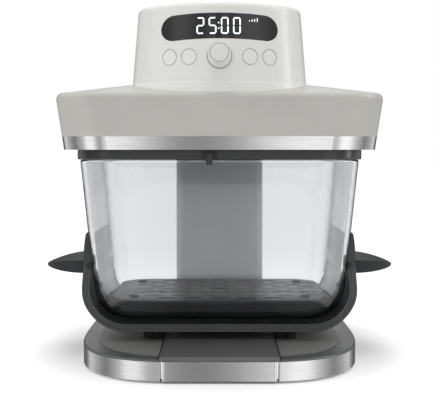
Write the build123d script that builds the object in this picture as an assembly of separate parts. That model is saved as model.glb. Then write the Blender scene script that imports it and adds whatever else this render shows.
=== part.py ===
from build123d import *
import math
import os

# A countertop air fryer with a glass container, in millimetres.
# X runs to the right, Y to the back and Z up, with Z = 0 at the underside of the rubber feet.

# Overall sizes of the base
BASE_WIDTH = 270.0
BASE_DEPTH = 320.0
BASE_POWER = 3.3
BASE_FRONT_CUT = 2.4
BAND_BOTTOM = 2.8
BAND_TOP = 19.5
RIM_TOP = 21.4
INLAY_TOP = 21.5
INLAY_INSET = 14.5
GUIDE_HALF = 53.0
GUIDE_FLARE = 1.6
GUIDE_TOP = 23.4

# Column and hinge
COLUMN_WIDTH = 100.0
COLUMN_FRONT_FOOT = 108.0
COLUMN_FRONT_TOP = 116.0
COLUMN_REAR = 156.0
COLUMN_WALL = 3.0
HINGE_Y = 136.0
HINGE_Z = 226.0
BARREL_RADIUS = 20.0
PIN_RADIUS = 4.0

# Glass container and its cradle
CONTAINER_Y = -4.0
RIM_Z = 197.0
RIM_WIDTH = 270.0
RIM_DEPTH = 212.0
RIM_CORNER = 46.0
GLASS_FLOOR_Z = 42.0
GLASS_TAPER = 14.4
GLASS_WALL = 5.0
GLASS_FLOOR = 6.0
GLASS_HEEL = 32.0
CRADLE_HALF = 133.7
CRADLE_WALL = 7.5
CRADLE_BEND = 44.0
CRADLE_BOTTOM = 31.0
CRADLE_TOP = 125.0
CRADLE_HALF_DEPTH = 76.0
ARM_HALF_DEPTH = 50.0
CRADLE_FOOT_X = 65.4
HANDLE_REACH = 43.3
HANDLE_HALF_DEPTH = 47.0
HANDLE_LOW = 84.4
HANDLE_TOP = 97.0
HANDLE_WALL = 9.0
HANDLE_SKIN = 3.4
HANDLE_SCREW_Z = 93.0
GROOVE_DEPTH = 3.4

# Head
HEAD_Y = 13.5
HEAD_WIDTH = 296.0
HEAD_DEPTH = 277.0
HEAD_CORNER = 46.0
HEAD_FLARE = 0.26
RING_BOTTOM = 197.3
RING_WIDTH = 274.6
TRIM_BOTTOM = 206.7
TRIM_TOP = 219.0
COLLAR_TOP = 259.5
SHOULDER_TOP = 271.0
SHELL_WALL = 2.6
TOWER_TOP = 341.5
TOWER_REAR = 130.0
NOTCH_HALF = 52.5
NOTCH_FRONT = 109.5
NOTCH_CEILING = 248.0
YOKE_HALF = 58.5
YOKE_PLATE = 3.0
YOKE_LOW = 250.6
YOKE_TOP = 255.5
YOKE_REAR = 106.0
BUSH_RADIUS = 7.0

# Controls
PANEL_Z = 291.4
WINDOW_Z = 319.6
WINDOW_WIDTH = 108.0
WINDOW_HEIGHT = 24.0
BUTTON_RADIUS = 7.15
BUTTON_OFFSETS = (-46.0, -28.0, 28.0, 46.0)
BUTTON_NAMES = ("button_outer_left", "button_inner_left", "button_inner_right", "button_outer_right")
BUTTON_GAP = 0.3
DIAL_SKIRT_RADIUS = 10.7
DIAL_FACE_RADIUS = 8.8
DIAL_HEIGHT = 13.6
DIAL_GAP = 1.4

# Tower outline at three heights: height, half width, front, front radius, corner radius
TOWER_STATIONS = (
    (254.0, 86.6, -127.6, 100.0, 58.0),
    (SHOULDER_TOP, 84.0, -125.4, 97.0, 56.0),
    (TOWER_TOP, 78.6, -114.6, 92.0, 52.0),
)
TOWER_REAR_CORNER = 30.0

os.makedirs("parts", exist_ok=True)


def box(x_span, y_span, z_span):
    """A block given by its limits along each axis."""
    sizes = [high - low for low, high in (x_span, y_span, z_span)]
    middle = [(high + low) / 2 for low, high in (x_span, y_span, z_span)]
    return Pos(*middle) * Box(*sizes)


def upright(x, y, z_low, z_high, radius):
    """A vertical cylinder."""
    return Pos(x, y, (z_low + z_high) / 2) * Cylinder(radius, z_high - z_low)


def across(x_low, x_high, y, z, radius):
    """A cylinder along X."""
    return Pos((x_low + x_high) / 2, y, z) * Rot(0, 90, 0) * Cylinder(radius, x_high - x_low)


def rounded(width, depth, radius, y, z):
    """A rounded rectangle lying at a height."""
    return Pos(0, y, z) * RectangleRounded(width, depth, radius)


def prism(plan, z_low, z_high):
    """A plan drawn at Z = 0, raised between two heights."""
    return Pos(0, 0, z_low) * extrude(plan, z_high - z_low)


def mirrored(part):
    """A part and its mirror image across the middle plane."""
    return part + mirror(part, Plane.YZ)


# Base

def base_plan(inset):
    """The base outline: a superellipse whose front is cut flat."""
    half_x = BASE_WIDTH / 2 - inset
    half_y = (BASE_DEPTH + BASE_FRONT_CUT) / 2 - inset
    middle_y = -BASE_FRONT_CUT / 2
    steps = 40
    points = []
    for step in range(steps):
        angle = 2 * math.pi * step / steps
        c = math.cos(angle)
        s = math.sin(angle)
        x = half_x * math.copysign(abs(c) ** (2 / BASE_POWER), c)
        y = half_y * math.copysign(abs(s) ** (2 / BASE_POWER), s)
        points.append((x, middle_y + y))
    outline = make_face(Spline(points, periodic=True))
    front = -BASE_DEPTH / 2 + inset
    return outline - Pos(0, front - 10) * Rectangle(BASE_WIDTH, 20)


def guide_profile(grow):
    """The sloping section of the centre guide."""
    foot = GUIDE_HALF + GUIDE_FLARE + grow
    top = GUIDE_HALF + grow
    return Polygon((-foot, BAND_TOP), (foot, BAND_TOP), (top, GUIDE_TOP), (-top, GUIDE_TOP), align=None)


GUIDE_REAR = 104.0
SCREW_PLACES = ((-100, -100), (100, -100), (-112, 20), (112, 20), (-92, 122), (92, 122))


def base_top_cover():
    flange = prism(base_plan(0), BAND_TOP, RIM_TOP)
    flange = fillet(flange.edges().group_by(Axis.Z)[-1], 1.4)
    recess = prism(base_plan(INLAY_INSET), BAND_TOP - 0.01, RIM_TOP + 1)
    deck = prism(base_plan(1.2), 17.0, BAND_TOP)
    skirt = prism(base_plan(1.2) - base_plan(3.6), 5.0, 17.0)
    cover = flange - recess
    guide_bay = GUIDE_HALF + GUIDE_FLARE + 0.2
    cover -= box((-guide_bay, guide_bay), (-170, GUIDE_REAR + 0.3), (BAND_TOP - 0.01, RIM_TOP + 1))
    cover = cover + deck + skirt
    plate_end = box((46.0, 53.0), (-170, -BASE_DEPTH / 2 + 4.4), (0, BAND_TOP))
    cover -= mirrored(plate_end)
    for x, y in SCREW_PLACES:
        cover += upright(x, y, 5.0, 17.5, 4.5)
        cover -= upright(x, y, 4.0, 15.0, 1.5)
    for y in (-70, 0, 70):
        cover += box((-110, 110), (y - 1, y + 1), (9.0, 17.2))
    cover -= box((-50.3, 50.3), (COLUMN_FRONT_FOOT - 0.3, COLUMN_REAR + 0.3), (0, 30))
    return cover


def base_inlay():
    plate = prism(base_plan(INLAY_INSET + 0.2), BAND_TOP, INLAY_TOP)
    guide_bay = GUIDE_HALF + GUIDE_FLARE + 0.4
    plate -= box((-guide_bay, guide_bay), (-170, GUIDE_REAR + 0.4), (0, 30))
    plate -= box((-50.8, 50.8), (COLUMN_FRONT_FOOT - 0.8, 170), (0, 30))
    return plate


def container_guide():
    length = GUIDE_REAR + BASE_DEPTH / 2 - 1.4
    block = Plane.XZ * guide_profile(0)
    block = Pos(0, GUIDE_REAR, 0) * extrude(block, length)
    underside = extrude(Pos(0, 20.2) * Rectangle(96, 1.7), length - 12)
    block -= Plane.XZ * Pos(0, 0, -GUIDE_REAR + 6) * underside
    return fillet(block.edges().filter_by(Axis.X).sort_by(Axis.Z)[-2:], 1.2)


def base_trim_band():
    band = prism(base_plan(0) - base_plan(0.9), BAND_BOTTOM, BAND_TOP)
    lip = prism(base_plan(0) - base_plan(3.4), BAND_BOTTOM - 0.6, BAND_BOTTOM + 0.4)
    return band + lip - box((-52.8, 52.8), (-170, -150), (0, 30))


def base_front_plate():
    front = -BASE_DEPTH / 2
    block = box((-52.4, 52.4), (front, front + 4.1), (BAND_BOTTOM - 0.6, BAND_TOP))
    block = fillet(block.edges().filter_by(Axis.Z).sort_by(Axis.Y)[:2], 4.0)
    hollow = box((-51.2, 51.2), (front + 1.2, front + 8), (0, 30))
    hollow = fillet(hollow.edges().filter_by(Axis.Z).sort_by(Axis.Y)[:2], 2.8)
    return block - hollow


FOOT_PLACES = ((-86, -118), (86, -118), (-74, 112), (74, 112))


def base_bottom_pan():
    pan = prism(base_plan(4.4), 1.4, 4.4)
    for x, y in SCREW_PLACES:
        pan -= upright(x, y, 0, 10, 1.9)
        pan -= upright(x, y, 0, 2.9, 3.4)
    for x, y in FOOT_PLACES:
        pan -= upright(x, y, 0, 10, 4.0)
    for row in range(7):
        pan -= box((-36, 36), (-32 + 9 * row, -28 + 9 * row), (0, 10))
    return pan


def base_rubber_feet():
    feet = None
    for x, y in FOOT_PLACES:
        foot = upright(x, y, 0, 1.4, 12.0) + upright(x, y, 1.4, 4.4, 4.0) + upright(x, y, 4.4, 6.0, 5.2)
        feet = foot if feet is None else feet + foot
    return feet


def base_screws():
    screws = None
    for x, y in SCREW_PLACES:
        screw = upright(x, y, 1.6, 2.9, 3.2) + upright(x, y, 2.9, 14.0, 1.5)
        screws = screw if screws is None else screws + screw
    return screws


# Column

def column_body(inset, z_low, z_high):
    """The column's outline, leaning back a little on its front side."""
    sections = []
    foot_z = 5.0
    for z in (z_low, z_high):
        share = (z - foot_z) / (HINGE_Z - foot_z)
        front = COLUMN_FRONT_FOOT + share * (COLUMN_FRONT_TOP - COLUMN_FRONT_FOOT) + inset
        rear = COLUMN_REAR - inset
        sections.append(rounded(COLUMN_WIDTH - 2 * inset, rear - front, 10 - inset, (front + rear) / 2, z))
    return loft(sections, ruled=True)


def column_shell():
    body = column_body(0, 5.0, HINGE_Z) + across(-50, 50, HINGE_Y, HINGE_Z, BARREL_RADIUS)
    body -= column_body(COLUMN_WALL, 4.0, 207.0)
    body -= across(-34, 34, HINGE_Y, HINGE_Z, BARREL_RADIUS - 3.5)
    body -= box((-34, 34), (122, 150), (200, HINGE_Z))
    body -= across(-60, 60, HINGE_Y, HINGE_Z, PIN_RADIUS)
    body -= box((-41, 41), (150, 170), (26, 204))
    return body


def column_rear_cover():
    cover = box((-40.8, 40.8), (COLUMN_REAR - 3, COLUMN_REAR), (26.2, 203.8))
    cover += box((-38, 38), (COLUMN_REAR - 6, COLUMN_REAR - 3), (30, 33))
    cover += box((-38, 38), (COLUMN_REAR - 6, COLUMN_REAR - 3), (197, 200))
    cover -= Pos(0, COLUMN_REAR, 44) * Rot(90, 0, 0) * Cylinder(6, 20)
    for row in range(8):
        cover -= box((-24, 24), (140, 170), (96 + 9 * row, 99 + 9 * row))
    return cover


def cord_gland():
    flange = Pos(0, COLUMN_REAR + 1.2, 44) * Rot(90, 0, 0) * Cylinder(9, 2.4)
    neck = Pos(0, COLUMN_REAR - 4, 44) * Rot(90, 0, 0) * Cylinder(5.9, 8)
    bore = Pos(0, COLUMN_REAR, 44) * Rot(90, 0, 0) * Cylinder(3.6, 30)
    return flange + neck - bore


def column_bracket():
    """The steel channel that carries the hinge pin."""
    web = box((-32, 32), (119, 121.5), (5, 196))
    foot = box((-32, 32), (119, 149), (5, 7.5))
    ears = box((29.5, 32), (119, 146), (5, 196))
    ears += box((29.5, 32), (HINGE_Y - 12, HINGE_Y + 12), (190, HINGE_Z))
    ears += across(29.5, 32, HINGE_Y, HINGE_Z, 12)
    ears -= across(20, 40, HINGE_Y, HINGE_Z, PIN_RADIUS)
    return web + foot + mirrored(ears)


def hinge_pin():
    return across(-63, 63, HINGE_Y, HINGE_Z, PIN_RADIUS)


def hinge_clips():
    clip = across(60.6, 61.8, HINGE_Y, HINGE_Z, 6.5) - across(50, 70, HINGE_Y, HINGE_Z, PIN_RADIUS)
    return mirrored(clip - box((50, 70), (HINGE_Y - 2, HINGE_Y + 2), (HINGE_Z - 10, HINGE_Z)))


# Glass container and cradle

def glass_half_width(z):
    return RIM_WIDTH / 2 - GLASS_TAPER * (RIM_Z - z) / (RIM_Z - GLASS_FLOOR_Z)


def glass_section(z, inset):
    """The container's outline at a height."""
    taper = GLASS_TAPER * (RIM_Z - z) / (RIM_Z - GLASS_FLOOR_Z)
    shrink = 2 * (taper + inset)
    corner = RIM_CORNER - 0.4 * taper - inset
    return rounded(RIM_WIDTH - shrink, RIM_DEPTH - shrink, corner, CONTAINER_Y, z)


def glass_container():
    outer = loft([glass_section(GLASS_FLOOR_Z, 0), glass_section(RIM_Z, 0)], ruled=True)
    outer = fillet(outer.edges().group_by(Axis.Z)[0], GLASS_HEEL)
    floor_z = GLASS_FLOOR_Z + GLASS_FLOOR
    inner = loft([glass_section(floor_z, GLASS_WALL), glass_section(RIM_Z + 2, GLASS_WALL)], ruled=True)
    inner = fillet(inner.edges().group_by(Axis.Z)[0], GLASS_HEEL - 5)
    vessel = outer - inner
    return fillet(vessel.edges().group_by(Axis.Z)[-1], 1.8)


def cradle_profile():
    """The U section of the cradle, seen from the front."""
    bend_x = CRADLE_HALF - CRADLE_BEND
    bend_z = CRADLE_BOTTOM + CRADLE_BEND
    inner = CRADLE_HALF - CRADLE_WALL
    inner_bend = CRADLE_BEND - CRADLE_WALL
    groove = CRADLE_HALF - GROOVE_DEPTH
    grip_top = glass_half_width(CRADLE_TOP) + 0.3
    grip_foot = glass_half_width(97) + 0.3
    diagonal = math.sqrt(0.5)
    half = [
        Line((0, CRADLE_BOTTOM), (bend_x, CRADLE_BOTTOM)),
        ThreePointArc((bend_x, CRADLE_BOTTOM),
                      (bend_x + CRADLE_BEND * diagonal, bend_z - CRADLE_BEND * diagonal),
                      (CRADLE_HALF, bend_z)),
        Line((CRADLE_HALF, bend_z), (CRADLE_HALF, 104)),
        ThreePointArc((CRADLE_HALF, 104), (CRADLE_HALF - 0.64, 116),
                      (CRADLE_HALF - 1.7, CRADLE_TOP - 1.5)),
        Line((CRADLE_HALF - 1.7, CRADLE_TOP - 1.5), (CRADLE_HALF - 3.0, CRADLE_TOP)),
        Line((CRADLE_HALF - 3.0, CRADLE_TOP), (grip_top, CRADLE_TOP)),
        Line((grip_top, CRADLE_TOP), (grip_foot, 97)),
        Line((grip_foot, 97), (groove, 96)),
        Line((groove, 96), (groove, 90)),
        Line((groove, 90), (inner, 88)),
        Line((inner, 88), (inner, bend_z)),
        ThreePointArc((inner, bend_z),
                      (bend_x + inner_bend * diagonal, bend_z - inner_bend * diagonal),
                      (bend_x, bend_z - inner_bend)),
        Line((bend_x, bend_z - inner_bend), (0, bend_z - inner_bend)),
        Line((0, bend_z - inner_bend), (0, CRADLE_BOTTOM)),
    ]
    return make_face(half)


def cradle_strap():
    half = Pos(0, CONTAINER_Y + CRADLE_HALF_DEPTH, 0) * extrude(Plane.XZ * cradle_profile(),
                                                                2 * CRADLE_HALF_DEPTH)
    side = Polygon((-CRADLE_HALF_DEPTH, 20), (CRADLE_HALF_DEPTH, 20), (CRADLE_HALF_DEPTH, 62),
                   (ARM_HALF_DEPTH + 4, 96), (ARM_HALF_DEPTH, 130), (-ARM_HALF_DEPTH, 130),
                   (-ARM_HALF_DEPTH - 4, 96), (-CRADLE_HALF_DEPTH, 62), align=None)
    side_solid = Pos(0, CONTAINER_Y, 0) * extrude(Plane.YZ * side, 140)
    side_solid = fillet(side_solid.edges().filter_by(Axis.X).group_by(Axis.Z)[1], 20)
    strap = mirrored(half & side_solid)
    for x in (-1, 1):
        for y in (-26, 26):
            strap -= across(x * 120 - 20, x * 120 + 20, CONTAINER_Y + y, HANDLE_SCREW_Z, 2.1)
    for x in (-CRADLE_FOOT_X, CRADLE_FOOT_X):
        for y in (-54, 54):
            strap -= upright(x, CONTAINER_Y + y, 30, 34, 5.0)
    return strap


def handle(side):
    """A wing with a pointed tip, hollowed underneath for the fingers."""
    root = CRADLE_HALF + 0.02
    tip = root + HANDLE_REACH
    profile = make_face([
        Line((root, HANDLE_LOW), (root, HANDLE_TOP)),
        ThreePointArc((root, HANDLE_TOP), (root + 22, HANDLE_TOP - 1.4), (tip, 90.2)),
        ThreePointArc((tip, 90.2), (tip + 0.6, 89.2), (tip - 0.4, 88.2)),
        ThreePointArc((tip - 0.4, 88.2), (root + 22, HANDLE_LOW + 0.9), (root, HANDLE_LOW)),
    ])
    wing = Pos(0, CONTAINER_Y + 60, 0) * extrude(Plane.XZ * profile, 120)
    plan = Pos(root - 6, CONTAINER_Y, 60) * extrude(Ellipse(HANDLE_REACH + 7, HANDLE_HALF_DEPTH), 80)
    wing = wing & plan
    pocket = Ellipse(HANDLE_REACH - 8 - HANDLE_WALL, HANDLE_HALF_DEPTH - 10)
    scoop = Pos(root + HANDLE_WALL, CONTAINER_Y, 60) * extrude(pocket, 80)
    ceiling = Pos(0, 0, -HANDLE_SKIN) * wing
    wing -= scoop & ceiling & box((root + HANDLE_WALL, tip + 5), (-60, 60), (60, 110))
    for y in (-26, 26):
        wing -= across(root - 5, root + HANDLE_WALL - 1, CONTAINER_Y + y, HANDLE_SCREW_Z, 1.4)
    wing = wing & box((root, tip + 5), (-80, 80), (60, 130))
    return wing if side > 0 else mirror(wing, Plane.YZ)


def handle_screws():
    screws = None
    seat = CRADLE_HALF - GROOVE_DEPTH
    for y in (-26, 26):
        screw = across(seat - 1.8, seat, CONTAINER_Y + y, HANDLE_SCREW_Z, 2.6)
        screw += across(seat, CRADLE_HALF + HANDLE_WALL - 1.2, CONTAINER_Y + y, HANDLE_SCREW_Z, 1.4)
        screws = screw if screws is None else screws + screw
    return mirrored(screws)


def cradle_feet():
    feet = None
    for x in (-CRADLE_FOOT_X, CRADLE_FOOT_X):
        for y in (-54, 54):
            center_y = CONTAINER_Y + y
            foot = upright(x, center_y, INLAY_TOP + 0.05, CRADLE_BOTTOM, 10.0)
            foot += upright(x, center_y, CRADLE_BOTTOM, 34.0, 5.0)
            slot_y = center_y + math.copysign(10, y)
            slot_span = sorted((slot_y, slot_y - math.copysign(3, y)))
            foot -= box((x - 1.6, x + 1.6), slot_span, (20, CRADLE_BOTTOM))
            feet = foot if feet is None else feet + foot
    return feet


def glass_pads():
    pads = None
    pad_low = CRADLE_BOTTOM + CRADLE_WALL
    for x in (-66, 66):
        for y in (-40, 40):
            pad_span = (CONTAINER_Y + y - 7, CONTAINER_Y + y + 7)
            pad = box((x - 12, x + 12), pad_span, (pad_low, GLASS_FLOOR_Z))
            pads = pad if pads is None else pads + pad
    return pads


TAB_X = -9.5


def interlock_tab():
    """A spring clip over the front rim, whose finger presses a switch in the head."""
    rim_front = CONTAINER_Y - RIM_DEPTH / 2
    span = (TAB_X - 3, TAB_X + 3)
    finger = box(span, (rim_front - 1.6, rim_front - 0.4), (RIM_Z - 4.2, RIM_Z + 6.2))
    saddle = box(span, (rim_front - 0.9, rim_front + 0.14), (RIM_Z - 4.2, RIM_Z - 1.6))
    return finger + saddle


CRISPER_Z = 62.0
CRISPER_HALF_X = 109.0
CRISPER_HALF_Y = 80.0


def crisper_plate():
    """The raised tray floor with slots, a turned-down edge and a finger hole."""
    plan = RectangleRounded(2 * CRISPER_HALF_X, 2 * CRISPER_HALF_Y, 34)
    lower = RectangleRounded(2 * CRISPER_HALF_X - 8, 2 * CRISPER_HALF_Y - 8, 30)
    inner = RectangleRounded(2 * CRISPER_HALF_X - 3.6, 2 * CRISPER_HALF_Y - 3.6, 32.2)
    inner_low = RectangleRounded(2 * CRISPER_HALF_X - 11.6, 2 * CRISPER_HALF_Y - 11.6, 28.2)
    tray = loft([Pos(0, 0, CRISPER_Z - 10) * lower, Pos(0, 0, CRISPER_Z) * plan], ruled=True)
    tray = fillet(tray.edges().group_by(Axis.Z)[-1], 1.2)
    tray -= loft([Pos(0, 0, CRISPER_Z - 10) * inner_low, Pos(0, 0, CRISPER_Z - 1.6) * inner], ruled=True)
    for row in range(-4, 5):
        for column in range(-3, 4):
            if abs(row) < 1 and abs(column) < 1:
                continue
            if abs(row) == 4 and abs(column) == 3:
                continue
            x = 26 * column + (13 if row % 2 else 0)
            if abs(x) > 92:
                continue
            tray -= box((x - 9, x + 9), (16 * row - 2, 16 * row + 2), (CRISPER_Z - 5, CRISPER_Z + 1))
    tray -= upright(0, 0, CRISPER_Z - 5, CRISPER_Z + 1, 10)
    for x, y in BUMPER_PLACES:
        tray -= upright(x, y, CRISPER_Z - 20, CRISPER_Z + 1, 3.0)
    return Pos(0, CONTAINER_Y, 0) * tray


BUMPER_PLACES = ((-84, -55), (84, -55), (-84, 55), (84, 55))


def crisper_bumpers():
    bumpers = None
    floor_z = GLASS_FLOOR_Z + GLASS_FLOOR
    for x, y in BUMPER_PLACES:
        bumper = upright(x, y, floor_z + 0.05, CRISPER_Z - 1.6, 5.0)
        bumper += upright(x, y, CRISPER_Z - 1.6, CRISPER_Z, 3.0)
        bumper += upright(x, y, CRISPER_Z, CRISPER_Z + 1.4, 4.4)
        bumpers = bumper if bumpers is None else bumpers + bumper
    return Pos(0, CONTAINER_Y, 0) * bumpers


# Head shells

def head_section(z, inset):
    """The collar's outline at a height; it flares upwards."""
    grow = 2 * (HEAD_FLARE * (z - TRIM_BOTTOM) * 0.5 - inset)
    return rounded(HEAD_WIDTH + grow, HEAD_DEPTH + grow, HEAD_CORNER - inset, HEAD_Y, z)


def shoulder_section(inset, z):
    """The upper end of the slope, which runs up at one angle from every side."""
    return rounded(2 * (84.0 - inset), 150.0 - 2 * inset, 24.0 - inset, HEAD_Y, z)


def collar_body(inset, z_low):
    """The flared collar wall with its soft top edge and the slope up to the tower."""
    drop = inset
    wall = loft([head_section(z_low, inset), head_section(COLLAR_TOP - drop, inset)], ruled=True)
    wall = fillet(wall.edges().group_by(Axis.Z)[-1], 5.5 - inset * 0.8)
    foot = head_section(COLLAR_TOP - drop - 0.2, 5.6)
    slope = loft([foot, shoulder_section(inset, SHOULDER_TOP - drop)], ruled=True)
    return wall + slope


def notch(grow):
    """The rear bay that clears the column and its barrel."""
    half = NOTCH_HALF + grow
    return box((-half, half), (NOTCH_FRONT - grow, 190), (150, NOTCH_CEILING + grow))


def tower_level(z):
    """Half width, front, front radius and corner radius of the tower at a height."""
    for low, high in zip(TOWER_STATIONS, TOWER_STATIONS[1:]):
        if z <= high[0] or high is TOWER_STATIONS[-1]:
            share = (z - low[0]) / (high[0] - low[0])
            return [a + share * (b - a) for a, b in zip(low[1:], high[1:])]
    return list(TOWER_STATIONS[-1][1:])


def tower_plan(z, inset):
    """A bowed front, soft corners, straight sides and a flat rear."""
    half_width, front, front_radius, corner = tower_level(z)
    half_width -= inset
    front += inset
    front_radius -= inset
    corner -= inset
    rear = TOWER_REAR - inset
    back_corner = TOWER_REAR_CORNER - inset
    turn = math.asin((half_width - corner) / (front_radius - corner))
    center_y = front + front_radius
    bend_x = (front_radius - corner) * math.sin(turn)
    bend_y = center_y - (front_radius - corner) * math.cos(turn)
    middle = (turn + math.pi / 2) / 2
    joint = (front_radius * math.sin(turn), center_y - front_radius * math.cos(turn))
    corner_middle = (bend_x + corner * math.sin(middle), bend_y - corner * math.cos(middle))
    back_cut = back_corner * (1 - math.sqrt(0.5))
    back_middle = (half_width - back_cut, rear - back_cut)

    def left(point):
        return (-point[0], point[1])

    side_front = (half_width, bend_y)
    side_rear = (half_width, rear - back_corner)
    rear_end = (half_width - back_corner, rear)
    edges = [
        ThreePointArc(left(joint), (0, front), joint),
        ThreePointArc(joint, corner_middle, side_front),
        Line(side_front, side_rear),
        ThreePointArc(side_rear, back_middle, rear_end),
        Line(rear_end, left(rear_end)),
        ThreePointArc(left(rear_end), left(back_middle), left(side_rear)),
        Line(left(side_rear), left(side_front)),
        ThreePointArc(left(side_front), left(corner_middle), left(joint)),
    ]
    return Pos(0, 0, z) * make_face(edges)


def tower_body(inset, z_low, z_high):
    levels = [z_low] + [s[0] for s in TOWER_STATIONS if z_low < s[0] < z_high] + [z_high]
    return loft([tower_plan(z, inset) for z in levels], ruled=True)


PANEL_LEAN = math.atan2(TOWER_STATIONS[2][2] - TOWER_STATIONS[1][2], TOWER_TOP - SHOULDER_TOP)


def panel_plane(x, z):
    """A plane on the tower's front, square to its surface, with its own Y up the slope."""
    half_width, front, radius, corner = tower_level(z)
    turn = math.asin(x / radius)
    place = (x, front + radius * (1 - math.cos(turn)), z)
    level = math.cos(PANEL_LEAN)
    normal = (math.sin(turn) * level, -math.cos(turn) * level, math.sin(PANEL_LEAN))
    side = (math.cos(turn), math.sin(turn), 0)
    return Plane(origin=place, x_dir=side, z_dir=normal)


def window_prism(inset):
    pill = SlotOverall(WINDOW_WIDTH - 2 * inset, WINDOW_HEIGHT - 2 * inset)
    return panel_plane(0, WINDOW_Z) * Pos(0, 0, -26) * extrude(pill, 34)


def tower_shell():
    outer = tower_body(0, TOWER_STATIONS[0][0], TOWER_TOP)
    outer = fillet(outer.edges().group_by(Axis.Z)[-1], 5.0)
    shell = outer - tower_body(SHELL_WALL, TOWER_STATIONS[0][0] - 1, TOWER_TOP - SHELL_WALL)
    shell -= window_prism(0)
    for x in BUTTON_OFFSETS:
        shell -= panel_plane(x, PANEL_Z) * Cylinder(BUTTON_RADIUS + BUTTON_GAP, 14)
    shell -= panel_plane(0, PANEL_Z) * Cylinder(4.2, 14)
    for row in range(7):
        z = 284 + 7 * row
        shell -= box((-42, 42), (TOWER_REAR - 6, TOWER_REAR + 2), (z, z + 3))
    shell -= box((-66, 66), (95, TOWER_REAR + 1), (250, 260.5))
    return shell


def display_window():
    """The curved black lens over the display, with a rebate behind it."""
    pane = tower_body(0, SHOULDER_TOP, TOWER_TOP) - tower_body(2.0, SHOULDER_TOP, TOWER_TOP)
    return pane & window_prism(0.15) & box((-80, 80), (-140, -60), (290, 345))


def button(x):
    plane = panel_plane(x, PANEL_Z)
    cap = tower_body(0, SHOULDER_TOP, TOWER_TOP) & (plane * Pos(0, 0, -1.6) * Cylinder(BUTTON_RADIUS, 5.2))
    stem = plane * Pos(0, 0, -5.6) * Cylinder(2.2, 3.2)
    return cap + stem


def button_carrier():
    """The curved strip behind the panel that holds the switches."""
    strip = tower_body(10.6, SHOULDER_TOP, TOWER_TOP) - tower_body(12.4, SHOULDER_TOP, TOWER_TOP)
    strip = strip & box((-58, 58), (-125, -84), (282, 301))
    return strip - panel_plane(0, PANEL_Z) * Pos(0, 0, -12) * Cylinder(10.6, 14)


def tact_switches():
    switches = None
    for x in BUTTON_OFFSETS:
        plane = panel_plane(x, PANEL_Z)
        switch = plane * Pos(0, 0, -9.35) * Box(6, 6, 2.0)
        switches = switch if switches is None else switches + switch
    return switches


def dial_plane():
    return panel_plane(0, PANEL_Z)


def dial_knob():
    """The rotary control: a skirt, a slightly tapered grip and a dished face."""
    skirt = Pos(0, 0, DIAL_GAP + 1.2) * Cylinder(DIAL_SKIRT_RADIUS, 2.4)
    grip_low = DIAL_GAP + 2.4
    grip_height = DIAL_GAP + DIAL_HEIGHT - grip_low
    grip = Pos(0, 0, grip_low + grip_height / 2) * Cone(9.6, DIAL_FACE_RADIUS, grip_height)
    grip = fillet(grip.edges().group_by(Axis.Z)[-1], 1.0)
    bore = Pos(0, 0, (DIAL_GAP + 11.2) / 2) * Cylinder(3.05, 11.2 - DIAL_GAP + 1.4)
    return dial_plane() * (skirt + grip - bore)


def encoder_rotor():
    shaft = Pos(0, 0, -3.2) * Cylinder(3.0, 24.4)
    collar = Pos(0, 0, -13.0) * Cylinder(4.6, 2.0)
    return dial_plane() * (shaft + collar)


def encoder_body():
    body = Pos(0, 0, -14.4) * Box(14, 14, 8) + Pos(0, 0, -23.1) * Box(10, 10, 9.4)
    body -= Pos(0, 0, -13.0) * Cylinder(4.65, 2.1)
    body -= Pos(0, 0, -8) * Cylinder(3.05, 18)
    return dial_plane() * body


def display_module():
    plane = panel_plane(0, WINDOW_Z)
    module = plane * Pos(0, 0, -19.6) * Box(88, 18, 5.6)
    for column in range(4):
        module += plane * Pos(-24 + 16 * column, 0, -16.4) * Box(11, 16, 1.2)
    return module


def control_board():
    board = dial_plane() * Pos(0, 12, -28.6) * Box(96, 62, 1.6)
    spacers = None
    for u in (-44, 44):
        for v in (-14, 38):
            spacers_part = dial_plane() * Pos(u, v, -30.8) * Cylinder(2.5, 2.8)
            spacers = spacers_part if spacers is None else spacers + spacers_part
    chip = dial_plane() * Pos(0, -6, -30.2) * Box(14, 14, 1.6)
    return board + spacers + chip


def collar_shell():
    outer = collar_body(0, TRIM_TOP)
    shell = outer - collar_body(SHELL_WALL, TRIM_TOP - 1)
    shell += notch(2.2) & outer
    shell -= notch(0)
    shell -= tower_body(0, TOWER_STATIONS[0][0], TOWER_TOP)
    shell -= across(-80, 80, HINGE_Y, HINGE_Z, 6.0)
    for x in (-1, 1):
        shell += upright(x * 128, HEAD_Y - 100, 213, 262, 5) & outer
        shell += upright(x * 128, HEAD_Y + 96, 213, 262, 5) & outer
    return shell


def trim_band():
    """The brushed steel band round the foot of the head."""
    outer = loft([head_section(TRIM_BOTTOM, 0), head_section(TRIM_TOP, 0)], ruled=True)
    inner = loft([head_section(TRIM_BOTTOM, 1.2), head_section(TRIM_TOP, 1.2)], ruled=True)
    return outer - inner - notch(2.5)


def bottom_cover():
    """The black underside of the head."""
    plate = extrude(head_section(TRIM_BOTTOM, 1.4), LINER_LOW - 0.2 - TRIM_BOTTOM)
    wall = loft([head_section(TRIM_BOTTOM, 1.5), head_section(TRIM_TOP - 0.2, 1.5)], ruled=True)
    wall -= loft([head_section(TRIM_BOTTOM, 3.6), head_section(TRIM_TOP - 0.2, 3.6)], ruled=True)
    plate += wall
    plate -= Pos(0, 0, TRIM_BOTTOM - 1) * extrude(rounded(252, 194, 40, CONTAINER_Y, 0), 8)
    plate -= notch(0.3)
    cheek = box((NOTCH_HALF + 0.3, NOTCH_HALF + 2.4), (NOTCH_FRONT, 151), (TRIM_BOTTOM, TRIM_TOP - 0.2))
    return plate + mirrored(cheek)


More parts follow.
